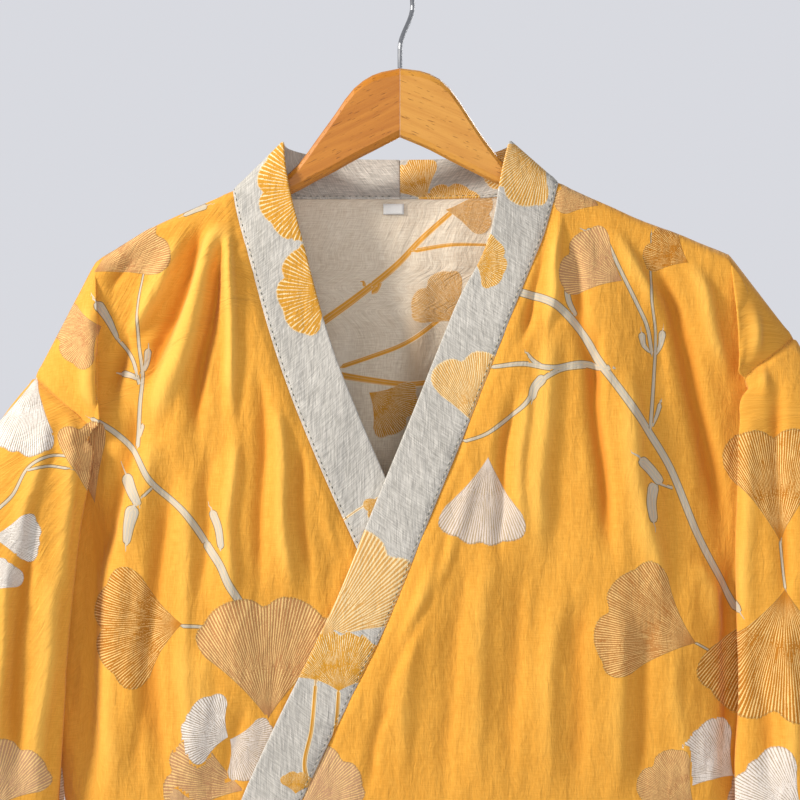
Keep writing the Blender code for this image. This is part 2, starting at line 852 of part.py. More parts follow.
def cloth_wall(name, grid, normals, thickness, material, closed=False):
    """A wall of the given thickness about a grid; a closed grid's last column is its first."""
    if closed:
        grid = grid[:, :-1]
        normals = normals[:, :-1]
    rows, columns = grid.shape[:2]
    half = thickness / 2
    outer = (grid + normals * half).reshape(-1, 3)
    inner = (grid - normals * half).reshape(-1, 3)
    points = np.concatenate([outer, inner])
    layer = rows * columns
    index = {}
    unique = []
    place = []
    for number, point in enumerate(points):
        key = (number // layer, tuple(np.round(point * 1000).astype(int)))
        if key not in index:
            index[key] = len(unique)
            unique.append(point)
        place.append(index[key])
    faces = []

    def add(*corners):
        kept = []
        for corner in (place[c] for c in corners):
            if corner not in kept:
                kept.append(corner)
        if len(kept) > 2:
            faces.append(kept)

    def at(i, j, side):
        return side * layer + i * columns + j % columns

    spans = columns if closed else columns - 1
    for i in range(rows - 1):
        for j in range(spans):
            add(at(i, j, 0), at(i + 1, j, 0), at(i + 1, j + 1, 0), at(i, j + 1, 0))
            add(at(i, j + 1, 1), at(i + 1, j + 1, 1), at(i + 1, j, 1), at(i, j, 1))
    for j in range(spans):
        add(at(0, j, 0), at(0, j + 1, 0), at(0, j + 1, 1), at(0, j, 1))
        add(at(rows - 1, j + 1, 0), at(rows - 1, j, 0), at(rows - 1, j, 1), at(rows - 1, j + 1, 1))
    if not closed:
        last = columns - 1
        for i in range(rows - 1):
            add(at(i + 1, 0, 0), at(i, 0, 0), at(i, 0, 1), at(i + 1, 0, 1))
            add(at(i, last, 0), at(i + 1, last, 0), at(i + 1, last, 1), at(i, last, 1))
    return make_mesh(name, unique, faces, material)


# The garment

def garment_grids():
    grids = {}
    halves = {}
    for side, name in SIDE_NAMES.items():
        front = front_grid(side)
        halves[side] = np.array([back_row(side, drop) for drop in ROW_DROPS + LOWER_DROPS])
        neckline = halves[side][0][: len(NECK_BACK_STEPS) + 1]
        grids["front_" + name] = world(front, side)
        grids["sleeve_" + name] = world(sleeve_grid(side), side)
        grids["collar_" + name] = world(band_grid(side, front, neckline), side)
    left = world(halves[1], 1)[:, ::-1]
    right = world(halves[-1], -1)[:, ::-1]
    grids["back"] = np.concatenate([left, right[:, 1:]], axis=1)
    return grids


SEAM_EDGES = {
    "front_right": ("first_row", "first_column", "last_column"),
    "front_left": ("first_row", "first_column", "last_column"),
    "back": ("first_row", "first_column", "last_column"),
    "sleeve_right": ("first_column", "last_column"),
    "sleeve_left": ("first_column", "last_column"),
    "collar_right": ("first_row", "first_column"),
    "collar_left": ("first_row", "last_column"),
}


# Columns of each grid that lie on an armhole seam
SEAM_COLUMNS_OF = {
    "front_right": (0,),
    "front_left": (-1,),
    "back": (0, -1),
    "sleeve_right": (0, -1),
    "sleeve_left": (0, -1),
}


def build_garment(materials):
    grids = garment_grids()
    normals = shared_normals(grids)
    for name, grid in grids.items():
        band = name.startswith("collar")
        piece = trimmed(grid, SEAM_EDGES[name], SEAM_SHARES[name.split("_")[0]])
        if not band:
            lift = -TURN_LIFT if name.startswith("sleeve") else TURN_LIFT
            for drop in TURN_DROPS:
                row = ROW_DROPS.index(drop)
                for column in SEAM_COLUMNS_OF[name]:
                    piece[row, column, 2] += lift
        if name.startswith("sleeve"):
            side = 1 if name.endswith("left") else -1
            down = grid[1].mean(axis=0) - grid[0][0]
            piece[0] += APEX_GAP * down / np.linalg.norm(down)
            for drop, (out, depth) in UNDERARM_GAPS.items():
                row = ROW_DROPS.index(drop)
                for column in (0, -1):
                    face = math.copysign(depth, grid[row, column, 1])
                    piece[row, column] += (side * out, face, 0)
        material = materials["band"] if band else materials["cloth"]
        cloth_wall(name, piece, normals[name], BAND if band else CLOTH, material)


# The belt

BELT_ROWS = 3
SIDE_SHARES = (0.2, 0.45, 0.65, 0.8, 0.91, 0.98)
FRONT_STEPS = 12
WAIST_DROP = 460
KNOT_SIZE = (46.0, 15.0, 50.0)
KNOT_X = -6.0
KNOT_ROUND = 6.0
TOUCH_GAP = 0.35
# Name, x at the knot, x at the foot and length
BELT_ENDS = (("belt_end_right", -29.5, -74.0, 330.0), ("belt_end_left", 18.5, 46.0, 300.0))
END_STEPS = 9
END_OFFSETS = (-0.5, -0.17, 0.17, 0.5)
END_CLEAR = 2.5
END_SETTLE = 0.2


def side_profile(t):
    """How a body row falls from its last flat column to the side seam."""
    return max(1 - t**2.4, 0.0) ** 0.6


def waist_outline():
    """The body's outline at the belt, from the wearer's left side round the back to the start."""
    points = []
    for face, depth_of in ((1, back_depth), (-1, front_forward)):
        first, last = (1, -1) if face > 0 else (-1, 1)
        side_out = SIDES[first].at("z", "out", BELT_Z)
        points.append((first * side_out, 0.0))
        for share in SIDE_SHARES[::-1] + (0.0,):
            x = first * mix(BODY_OUT[first], side_out, share)
            points.append((x, face * depth_of(first * BODY_OUT[first], BELT_Z) * side_profile(share)))
        for i in range(1, FRONT_STEPS):
            x = mix(first * BODY_OUT[first], last * BODY_OUT[last], i / FRONT_STEPS)
            points.append((x, face * depth_of(x, BELT_Z)))
        for share in (0.0,) + SIDE_SHARES:
            x = last * mix(BODY_OUT[last], side_out, share)
            points.append((x, face * depth_of(last * BODY_OUT[last], BELT_Z) * side_profile(share)))
    return np.array(points)


def build_belt(material):
    outline = waist_outline()
    along = np.roll(outline, -1, axis=0) - np.roll(outline, 1, axis=0)
    along /= np.linalg.norm(along, axis=1, keepdims=True)
    ring = outline + BELT_CLEAR * np.stack([along[:, 1], -along[:, 0]], axis=1)
    ring = np.concatenate([ring, ring[:1]])[::-1]
    rows = []
    for row in range(BELT_ROWS):
        z = BELT_Z + BELT_WIDTH * (0.5 - row / (BELT_ROWS - 1))
        rows.append([np.array([x, y, z]) for x, y in ring])
    grid = np.array(rows)
    cloth_wall("belt", grid, shared_normals({"belt": grid})["belt"], BELT_CLOTH, material, closed=True)

    depth = DEPTHS.at("drop", "front", WAIST_DROP) + BELT_CLEAR + BELT_CLOTH / 2
    knot_middle = depth + TOUCH_GAP + KNOT_SIZE[1] / 2
    bpy.ops.mesh.primitive_cube_add(size=1)
    knot = bpy.context.active_object
    knot.name = "belt_knot"
    knot.data.transform(Matrix.Diagonal([size * MM for size in KNOT_SIZE] + [1]))
    knot.location = (KNOT_X * MM, -knot_middle * MM, BELT_Z * MM)
    bevel = knot.modifiers.new("soft", "BEVEL")
    bevel.width = KNOT_ROUND * MM
    bevel.segments = 3
    knot.data.materials.append(material)

    top_z = BELT_Z - KNOT_SIZE[2] / 2 - TOUCH_GAP
    for name, top_x, foot_x, length in BELT_ENDS:
        rows = []
        for i in range(END_STEPS):
            share = i / (END_STEPS - 1)
            tilt = (foot_x - top_x) / length * ramp(share, 0.0, END_SETTLE)
            across = np.array([1.0, 0.0, tilt])
            x = mix(top_x, foot_x, share)
            z = top_z - length * share
            row = []
            for offset in END_OFFSETS:
                place = np.array([x, 0.0, z]) + across * BELT_WIDTH * offset
                lying = front_forward(place[0], place[2]) + BELT_CLEAR + END_CLEAR
                place[1] = -mix(knot_middle, lying, ramp(share, 0.0, END_SETTLE))
                row.append(place)
            rows.append(row)
        grid = np.array(rows)
        cloth_wall(name, grid, shared_normals({name: grid})[name], BELT_CLOTH, material)


# The label inside the back of the neck

LABEL_WIDTH = 14.5
LABEL_HEIGHT = 7.5
LABEL_CLOTH = 0.8
LABEL_X = -4.5
LABEL_TOP_Z = -158.6


def build_label(material):
    rows = []
    for row in range(2):
        z = LABEL_TOP_Z - LABEL_HEIGHT * row
        points = []
        for share in (-0.5, 0.0, 0.5):
            x = LABEL_X + LABEL_WIDTH * share
            inner = back_depth(x, z) - CLOTH / 2 - TOUCH_GAP - LABEL_CLOTH / 2
            points.append(np.array([x, inner, z]))
        rows.append(points)
    grid = np.array(rows)
    cloth_wall("neck_label", grid, shared_normals({"label": grid})["label"], LABEL_CLOTH, material)


# The hanger

WOOD_COLUMNS = "out top foot"
RIGHT_WOOD = Table(
    WOOD_COLUMNS,
    (0, -65.6, -113.6),
    (19.5, -70.6, -123.6),
    (34, -81.6, -131),
    (44.5, -96.6, -137),
    (60, -118, -145),
    (69, -130.5, -150),
    (80, -141, -155.5),
    (97, -152, -164.5),
    (116, -158, -173),
)
LEFT_WOOD = Table(
    WOOD_COLUMNS,
    (0, -65.6, -113.6),
    (19.5, -68.9, -121.8),
    (32.5, -77, -128.6),
    (41, -88, -133),
    (54, -108, -139.5),
    (63, -120.5, -144),
    (74, -134, -149),
    (90, -146.5, -157),
    (110, -152.5, -166),
)
WOODS = {-1: RIGHT_WOOD, 1: LEFT_WOOD}
WOOD_STATIONS = 30
TIP_OUT = {-1: 204.0, 1: 220.0}
ARM_HEIGHT = 25.0
NECK_SINK = 3.5
NECK_SINK_RUN = 26.0
SECTION_SPOTS = 12
MITRE_GAP = 0.06
TIP_RUN = 12.0
TIP_ANGLES = (30, 55, 75)
TIP_POWER = 0.6
THINNING = (70, 8)  # distances from the tip between which the arm thins
CORNER_SHARE = 0.98


def wood_heights(side, out):
    """Top and foot of the arm: its own profile inside the neck, the cloth's beyond it."""
    risen = ramp(out, NECK_OUT[side], NECK_OUT[side] + NECK_SINK_RUN)
    seat = shoulder_z(side * out) - ARM_SEAT - NECK_SINK * (1 - risen)
    if out <= NECK_OUT[side]:
        return WOODS[side].at("out", "top", out), WOODS[side].at("out", "foot", out)
    neck_foot = WOODS[side].at("out", "foot", NECK_OUT[side])
    share = (out - NECK_OUT[side]) / (TIP_OUT[side] - NECK_OUT[side])
    foot = mix(neck_foot, shoulder_z(side * TIP_OUT[side]) - ARM_HEIGHT, share)
    return seat, foot


def arm_section(side, out, top, foot):
    """A rounded bar's outline at one station."""
    half = (top - foot) / 2
    middle = (top + foot) / 2
    thinned = ramp(out, TIP_OUT[side] - THINNING[0], TIP_OUT[side] - THINNING[1])
    thickness = mix(ARM_THICKNESS, TIP_THICKNESS, thinned)
    radius = min(ARM_ROUND, half * CORNER_SHARE, thickness / 2 * CORNER_SHARE)
    points = []
    for i in range(SECTION_SPOTS):
        quarter, step = divmod(i, SECTION_SPOTS // 4)
        angle = math.radians(90 * quarter + 90 * step / (SECTION_SPOTS // 4 - 1))
        corner_y = (thickness / 2 - radius) * (1 if quarter in (0, 3) else -1)
        corner_z = (half - radius) * (1 if quarter in (0, 1) else -1)
        y = corner_y + radius * math.cos(angle)
        z = middle + corner_z + radius * math.sin(angle)
        points.append(np.array([side * out, y, z]))
    return points


def build_arm(side, material):
    last = TIP_OUT[side] - TIP_RUN
    stations = [MITRE_GAP] + between(MITRE_GAP, last, WOOD_STATIONS)
    rings = [arm_section(side, out, *wood_heights(side, out)) for out in stations]
    top, foot = wood_heights(side, last)
    for angle in TIP_ANGLES:
        shrink = math.cos(math.radians(angle)) ** TIP_POWER
        out = last + TIP_RUN * math.sin(math.radians(angle))
        end_top = min(mix((top + foot) / 2, top, shrink), shoulder_z(side * out) - ARM_SEAT)
        rings.append(arm_section(side, out, end_top, mix((top + foot) / 2, foot, shrink)))
    points = [point for ring in rings for point in ring]
    count = SECTION_SPOTS
    faces = [list(range(count))[::-1], [len(points) - count + i for i in range(count)]]
    for ring in range(len(rings) - 1):
        for i in range(count):
            j = (i + 1) % count
            a, b = ring * count, (ring + 1) * count
            faces.append([a + i, a + j, b + j, b + i])
    if side < 0:
        faces = [face[::-1] for face in faces]
    make_mesh("hanger_arm_" + SIDE_NAMES[side], points, faces, material)


def build_hook(material):
    """Stem, shank that leans out to the arc, and the arc over the rail."""
    arc_z = WIRE / 2 - HOOK_RADIUS
    path = [(0.0, z) for z in (STEM_FOOT_Z, mix(STEM_FOOT_Z, SHANK_Z, 0.5), SHANK_Z)]
    for t in between(0.0, 1.0, SHANK_STEPS)[:-1]:
        path.append((HOOK_RADIUS * t * t * (3 - 2 * t), mix(SHANK_Z, arc_z, t)))
    for angle in [0.0] + between(0.0, HOOK_ARC, ARC_STEPS):
        path.append((HOOK_RADIUS * math.cos(angle), arc_z + HOOK_RADIUS * math.sin(angle)))
    curve_data = bpy.data.curves.new("hanger_hook", "CURVE")
    curve_data.dimensions = "3D"
    curve_data.bevel_depth = WIRE / 2 * MM
    curve_data.bevel_resolution = 2
    curve_data.use_fill_caps = True
    spline = curve_data.splines.new("POLY")
    spline.points.add(len(path) - 1)
    for point, (along, z) in zip(spline.points, path):
        x = along * math.cos(HOOK_TURN)
        y = along * math.sin(HOOK_TURN)
        point.co = (x * MM, y * MM, z * MM, 1)
    curve_data.materials.append(material)
    hook = bpy.data.objects.new("hanger_hook", curve_data)
    bpy.context.collection.objects.link(hook)


# Colours

# Name, colour, roughness and metallic share
MATERIALS = (
    ("cloth", (0.87, 0.39, 0.04, 1), 0.9, 0.0),
    ("band", (0.50, 0.48, 0.43, 1), 0.9, 0.0),
    ("label", (0.85, 0.84, 0.80, 1), 0.85, 0.0),
    ("wood", (0.72, 0.33, 0.08, 1), 0.4, 0.0),
    ("steel", (0.45, 0.46, 0.47, 1), 0.28, 1.0),
)


def make_materials():
    made = {}
    for name, colour, roughness, metallic in MATERIALS:
        material = bpy.data.materials.new(name)
        material.use_nodes = True
        shader = material.node_tree.nodes["Principled BSDF"]
        shader.inputs["Base Color"].default_value = colour
        shader.inputs["Roughness"].default_value = roughness
        shader.inputs["Metallic"].default_value = metallic
        made[name] = material
    return made


def main():
    for thing in list(bpy.data.objects):
        bpy.data.objects.remove(thing, do_unlink=True)
    materials = make_materials()
    build_garment(materials)
    build_belt(materials["cloth"])
    build_label(materials["label"])
    for side in SIDE_NAMES:
        build_arm(side, materials["wood"])
    build_hook(materials["steel"])


main()
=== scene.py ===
"""Kimono robe of ginkgo double gauze on its wooden hanger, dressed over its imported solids.

The cloth's form is worked out in millimetres, as on the solids: out from the middle, forward
and up. The origin is the underside of the hook's top, +Z is up and the front faces -Y.
"""

import math

import bpy
import numpy as np
from mathutils import Matrix, Vector

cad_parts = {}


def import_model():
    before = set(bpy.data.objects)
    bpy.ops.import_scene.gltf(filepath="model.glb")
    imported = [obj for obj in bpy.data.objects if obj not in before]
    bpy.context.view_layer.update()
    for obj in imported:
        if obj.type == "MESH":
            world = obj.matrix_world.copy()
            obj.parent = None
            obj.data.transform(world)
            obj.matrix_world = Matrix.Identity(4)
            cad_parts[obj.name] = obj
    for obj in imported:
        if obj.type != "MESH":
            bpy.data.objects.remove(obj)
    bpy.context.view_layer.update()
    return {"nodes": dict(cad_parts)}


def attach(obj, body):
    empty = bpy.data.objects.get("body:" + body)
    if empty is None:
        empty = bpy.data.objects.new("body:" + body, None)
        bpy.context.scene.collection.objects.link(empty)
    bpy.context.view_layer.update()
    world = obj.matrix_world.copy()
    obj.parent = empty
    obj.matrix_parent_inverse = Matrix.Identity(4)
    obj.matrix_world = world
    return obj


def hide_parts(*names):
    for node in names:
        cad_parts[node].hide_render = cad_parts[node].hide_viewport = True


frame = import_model()

MM = 0.001

FRONT_DROP = 1146.0  # neck point to hem, down the front
HEM_Z = -1298.0
ARCH = 7.8  # radius of the cloth's bend over the hanger's arm
UNDER_DEPTH = 4.6  # how far the under front lies behind the over front
SKIRT_UNDER_DEPTH = 9.0
BAND_WIDTH = 38.5
BAND_RAISE = 0.7
BAND_SETTLE = 45.0  # length over which the standing band comes to lie flat
BAND_SHARES = (0, 0.33, 0.67, 1)
SIDE_ROUND = 12.0

BELT_Z = -620.0
BELT_WIDTH = 45.0
BELT_CLOTH = 2.4
BELT_CLEAR = 3.7  # middle of the belt to middle of the fronts

ROW_DROPS = (0, 4, 8, 12.5, 28, 42, 56, 75, 92, 130, 170, 210, 245)
LOWER_DROPS = (285, 330, 375, 415, 455, 505, 590, 700, 820, 980, FRONT_DROP)
CUFF_DROPS = (275, 305, 345, 385)
ARMPIT_DROP = 245
BODY_STEPS = 8
POCKET_FLOOR = 2.0
POCKET_TURN = 3.5  # the valley's turn back towards the fold
POCKET_STEPS = (3, 1, 3)  # body to valley, valley to fold, fold to seam
FOLDED_DROP = 56  # the body's fold lies over the seam down to here
VALLEY_DROP = 75
POCKET_ROUNDING = (232, 330)  # drops between which the pocket becomes a plain side
POCKET_SEAM_SHARE = 0.42


# Tables of the cloth's form, in millimetres

def rows_of(text):
    """Rows of numbers: spaces part the rows and commas the numbers."""
    return [tuple(float(value) for value in row.split(",")) for row in text.split()]


class Table:
    """Rows of numbers under named columns, read along a smooth curve through them."""

    def __init__(self, columns, rows):
        self.columns = dict(zip(columns.split(), np.array(rows, float).T))

    def at(self, key, name, where):
        keys = self.columns[key]
        values = self.columns[name]
        if keys[0] > keys[-1]:
            keys, values = keys[::-1], values[::-1]
        steps = np.diff(keys)
        slopes = np.diff(values) / steps
        inner = np.where(slopes[1:] * slopes[:-1] > 0, (slopes[1:] + slopes[:-1]) / 2, 0.0)
        limit = 2.5 * np.minimum(abs(slopes[1:]), abs(slopes[:-1]))
        inner = np.clip(inner, -limit, limit)
        tangents = np.concatenate(([slopes[0]], inner, [slopes[-1]]))
        cell = int(np.clip(np.searchsorted(keys, where) - 1, 0, len(steps) - 1))
        t = min(max((where - keys[cell]) / steps[cell], 0.0), 1.0)
        rise = (3 - 2 * t) * t * t
        start = t * (1 - t) ** 2 * steps[cell] * tangents[cell]
        end = t * t * (t - 1) * steps[cell] * tangents[cell + 1]
        return float(values[cell] * (1 - rise) + values[cell + 1] * rise + start + end)


def by_side(columns, right, left):
    """A table for the wearer's right, side -1, and one for the left, side 1."""
    return {-1: Table(columns, rows_of(right)), 1: Table(columns, rows_of(left))}


# The shoulder crease, from the neck point over the hanger's tip to the top of the armhole seam
SHOULDERS = by_side("out z", """
    116,-151.5 141,-162.5 166,-174 196,-189.5 211,-201 222,-216.5 236,-243 254,-281.5
""", """
    110,-145.9 138,-158.6 172.5,-173.8 207,-186.2 226,-194.5 240,-209 255,-229 274,-254
""")

# The armhole seam, the fold in front of it and the valley behind, by distance down the seam
SEAMS = by_side("drop out z forward", """
    0,254,-281.5,0 14,243.5,-290,11 28,232.5,-299,16 42,221.5,-308,19 56,212.5,-317,21 75,222,-334,14
    92,238,-352,10 130,240,-390,11 170,243,-429,11 210,247,-468,5.5 245,250,-503.6,0 275,240,-540,0
""", """
    0,274,-254,0 14,264.5,-261,11 28,255,-267.5,16 42,245.5,-274.5,19 56,237.5,-281.5,21 75,246,-298,14
    92,258,-315,10 130,258,-354,11 170,257,-394,11 210,256,-434,5.5 245,254,-470,0 275,243,-510,0
""")
FOLDS = by_side("drop out z forward", """
    0,214,-205,0 4,212.5,-211,7 14,210.5,-232,15 28,209.5,-260,19 42,209.5,-289,22 56,210,-312,22.5
    75,212,-331,23 92,213.5,-345,24 130,218,-378,24 170,223.5,-415,24 210,228,-455,24 245,230.5,-492,24
    275,232.5,-527,24 305,235,-560,24 345,239,-601,25 385,243,-640,26
""", """
    0,230.5,-198,0 4,231,-203,7 14,232,-222,13 28,233.5,-243,18 42,235,-263,21 56,235.5,-277,22
    75,235.5,-296,23 92,235,-313,24 130,234,-347,24 170,232.5,-384,24 210,231.5,-424,24 245,231,-460,24
    275,230.5,-497,24 305,230,-530,24 345,231,-575,25 385,233,-615,26
""")
VALLEYS = by_side("drop out z forward", """
    0,209,-199,0 4,210,-204,6.8 14,214,-222,10 28,220,-246,8 42,228,-269,6.5 56,235,-291,6 75,238,-318,6
""", """
    0,226.5,-195,0 4,227.5,-199,6.8 14,236,-211,9.5 28,243,-227,8 42,250,-243,6.5 56,256,-261,6
    75,259,-285,6
""")

# The sleeve's outer crease and how far its front bulges, by the same distance down
SLEEVES = by_side("drop out z bulge", """
    0,254,-281.5,1 14,264,-293,12 28,275,-307,18 42,285,-322,23 56,294,-336,27 75,305,-352,30
    92,314,-366,32 130,332,-398,36 170,348,-432,38 210,361,-465,39 245,370,-492,40 275,376,-508,41
    305,382,-523,41 345,388,-542,42 385,392,-560,42
""", """
    0,274,-254,1 14,283,-266,12 28,293,-280,18 42,303,-294,23 56,312,-309,27 75,322,-326,30
    92,331,-341,32 130,348,-374,36 170,363,-409,38 210,375,-443,39 245,383,-470,40 275,389,-488,41
    305,394,-505,41 345,400,-525,42 385,404,-545,42
""")
UNDERARMS = by_side("drop out z", """
    245,250,-503.6 275,250,-533 305,249.5,-562 345,250,-600 385,252,-638
""", """
    245,254,-470 275,253,-501 305,252,-534 345,252,-576 385,254,-614
""")

# The neckband's seam, where each front ends
NECKS = by_side("z out", f"""
    -151.5,116 -166,113.5 -196.5,105 -231,95.5 -266.9,84.9 -296.6,74 -361.4,46.9 -396,31 -450,8 -508,-17
    -566,-42 -620,-60 -700,-80 -900,-104 {HEM_Z},-122
""", f"""
    -145.9,110 -161,106 -184.8,98.9 -203.8,90.9 -234.5,78.3 -296.6,53.8 -393.2,14.2 -450.5,-9
    -508.8,-37.3 -566,-64.9 -620,-86 -700,-104 -900,-124 {HEM_Z},-142
""")

# The band's free edge where it stands round the neck: run counts from the neck point,
# negative round the back of the neck and positive down the front
BANDS = by_side("run out forward z", """
    -116,0,-46,-126 -77,37,-45,-125.3 -50,61,-39,-123.4 -20,79,-23,-119.4 -8,82,-10,-117.8 0,81,0,-117
    14,79,10.5,-138 29,74,13,-160 45,67.8,15,-184.3
""", """
    -110,0,-46,-126 -72,35,-45,-125.3 -46,57,-39,-123.4 -20,74,-23,-119.4 -8,77,-10,-117.4
    0,76.3,0,-116.5 15,70.5,11.5,-137 39,65.5,14,-167 58,60.5,16,-189
""")

# Depth of the fronts and back from the middle plane, by drop below the shoulder
DEPTHS = Table("drop front back", rows_of(f"""
    {ARCH},{ARCH},{ARCH} 28,11,12 56,15,16 100,20,21 170,25,25 245,28,27 330,30,28 425,28,26 500,28,26
    600,34,32 800,42,40 {FRONT_DROP},50,48
"""))
SIDES = by_side("z out", f"""
    -503.6,250 -540,238 -572,233 -660,233 -700,235 -800,240 -1000,250 {HEM_Z},262
""", f"""
    -470,254 -507,242 -545,236 -572,233 -660,233 -700,235 -800,240 -1000,250 {HEM_Z},262
""")

# Soft folds of the fronts and of the back: x and z of the top, x and z of the foot,
# half width and height
FRONT_FOLDS = rows_of("""
    -121,-186,-163,-350,14,4.5 -115,-205,-68,-410,13,4.5 -150,-200,-186,-262,11,-3.5
    -96,-290,-76,-372,10,-4 -120,-400,-112,-560,16,4 -176,-350,-190,-560,14,3.5 85,-240,60,-330,12,3.5
    140,-190,165,-440,24,4.5 178,-235,196,-400,12,-4.5 105,-330,92,-560,18,-3 58,-400,-38,-530,14,3.5
    150,-470,60,-575,16,3.5 10,-440,-60,-560,11,-2.5
""")
BACK_FOLDS = rows_of("""
    -126,-190,-156,-420,16,4.5 118,-190,150,-430,16,4.5 -60,-210,-74,-520,18,-3.5
    48,-230,70,-520,18,-3.5 -10,-260,6,-560,22,4 -182,-330,-172,-560,14,3.5 180,-330,174,-560,14,3.5
""")
FOLD_FADES = (-0.12, 0.2, 0.75, 1.15)  # shares of a fold's length where it swells and dies away
BELT_QUIET = (32, 85)  # distances from the belt between which folds come back
SKIRT_WAVE = 150.0
SKIRT_HEIGHT = 5.0
SKIRT_PHASE = 0.6
SKIRT_START = (40, 260)  # below the belt

# The panels' section across, and how it grows below the crease
FACE_POWER = 3.2
EDGE_POWER = 0.42
FLATTEST = 0.98
FULL_DEPTH_DROP = 50
FULL_FOLD_DROP = 60
UNDER_TUCK = (52, 10)  # distances inside the over front's free edge
UNDER_TUCK_DROP = (262, 318)
UNDER_TUCK_RISE = 16
SKIRT_TUCK_FALL = 120
SIDE_EASE = 0.35
SIDE_EASE_DROPS = (10, 90)

SIDE_NAMES = {-1: "right", 1: "left"}
NECK_OUT = {-1: 116.0, 1: 110.0}
NECK_Z = {-1: -151.5, 1: -145.9}
BODY_OUT = {-1: 178.0, 1: 192.0}
TABLE_RUN = {-1: 45.0, 1: 58.0}
BACK_SHARE = 0.9

NECK_BACK = Table("out depth z", rows_of("""
    0,21,-155.5 60,20,-155.2 88,15,-154.3 104,7,-152.3 116,0,-150
"""))
NECK_BACK_STEPS = (0, 40, 72, 95)


def mix(a, b, share):
    return a + (b - a) * share


def ramp(value, start, end):
    t = min(max((value - start) / (end - start), 0.0), 1.0)
    return t * t * (3 - 2 * t)


# The cloth's form

def side_of(x):
    return -1 if x < 0 else 1


def shoulder_z(x):
    """Height of the crease over x, carried level across the neck from one neck point to the other."""
    side = side_of(x)
    out = abs(x)
    if out < NECK_OUT[side]:
        share = (x + NECK_OUT[-1]) / (NECK_OUT[-1] + NECK_OUT[1])
        return mix(NECK_Z[-1], NECK_Z[1], share)
    return SHOULDERS[side].at("out", "z", out)


def depth_at(x, z, face):
    """Distance of the front or back from the middle plane before its folds."""
    drop = max(shoulder_z(x) - z, 0.0)
    if drop < ARCH:
        return math.sqrt(max(ARCH**2 - (ARCH - drop) ** 2, 0.0))
    width = SIDES[side_of(x)].at("z", "out", z) + SIDE_ROUND
    share = min(abs(x) / width, FLATTEST)
    rounding = (1 - share**FACE_POWER) ** EDGE_POWER
    return mix(ARCH, DEPTHS.at("drop", face, drop) * rounding, ramp(drop, ARCH, FULL_DEPTH_DROP))


def relief(x, z, folds):
    total = 0.0
    swell, full, wane, gone = FOLD_FADES
    for top_x, top_z, foot_x, foot_z, half_width, height in folds:
        run_x = foot_x - top_x
        run_z = foot_z - top_z
        length = math.hypot(run_x, run_z)
        along = ((x - top_x) * run_x + (z - top_z) * run_z) / length**2
        across = ((x - top_x) * run_z - (z - top_z) * run_x) / length
        fade = ramp(along, swell, full) * (1 - ramp(along, wane, gone))
        total += height * fade * math.exp(-((across / half_width) ** 2))
    waist = ramp(abs(z - BELT_Z), *BELT_QUIET)
    skirt = ramp(BELT_Z - z, *SKIRT_START)
    wave = math.sin(x * 2 * math.pi / SKIRT_WAVE + SKIRT_PHASE)
    return total * waist + SKIRT_HEIGHT * skirt * wave


def front_forward(x, z):
    """How far the over front's middle surface stands in front of the middle plane."""
    rise = ramp(shoulder_z(x) - z, ARCH, FULL_FOLD_DROP)
    return depth_at(x, z, "front") + rise * relief(x, z, FRONT_FOLDS)


def under_forward(x, z):
    """The same for the under front, which dips behind the over front's free edge."""
    edge = NECKS[1].at("z", "out", z - UNDER_TUCK_RISE) - BAND_WIDTH
    far, near = UNDER_TUCK
    dip = ramp(x, edge - far, edge - near) * ramp(-z, *UNDER_TUCK_DROP)
    depth = mix(UNDER_DEPTH, SKIRT_UNDER_DEPTH, ramp(BELT_Z - z, 0, SKIRT_TUCK_FALL))
    return front_forward(x, z) - depth * dip


def back_depth(x, z):
    side = side_of(x)
    rise = ramp(shoulder_z(x) - z, ARCH, FULL_FOLD_DROP)
    depth = depth_at(x, z, "back") + rise * relief(x, z, BACK_FOLDS)
    if abs(x) < NECK_OUT[side]:
        depth = max(depth, NECK_BACK.at("out", "depth", abs(x)))
    return depth


def spot(table, drop):
    return np.array([table.at("drop", name, drop) for name in ("out", "forward", "z")])


def between(start, end, steps):
    """Points from start to end, start left out."""
    return [mix(start, end, (i + 1) / steps) for i in range(steps)]


def arch_drop(drop):
    """Height lost by cloth that first bends over the arm, then hangs."""
    quarter = ARCH * math.pi / 2
    return ARCH * (1 - math.cos(drop / ARCH)) if drop < quarter else ARCH + drop - quarter


def side_z(side, drop):
    """Height of the armhole seam, or below the armpit of the side seam."""
    seam = SEAMS[side]
    if drop <= ARMPIT_DROP:
        return seam.at("drop", "z", drop)
    share = (drop - ARMPIT_DROP) / (FRONT_DROP - ARMPIT_DROP)
    return mix(seam.at("drop", "z", ARMPIT_DROP), HEM_Z, share)


def column_z(side, out, drop, inner_out):
    """Height of a row at a body column: parallel to the crease, then easing down to the side."""
    body_out = BODY_OUT[side]
    share = min(max((out - inner_out) / (body_out - inner_out), 0.0), 1.0)
    fall = arch_drop(drop)
    level = mix(shoulder_z(side * max(out, NECK_OUT[side])) - fall, HEM_Z, (fall / FRONT_DROP) ** 3)
    ease = SIDE_EASE * ramp(drop, *SIDE_EASE_DROPS) * share**2
    return mix(level, side_z(side, drop), ease)


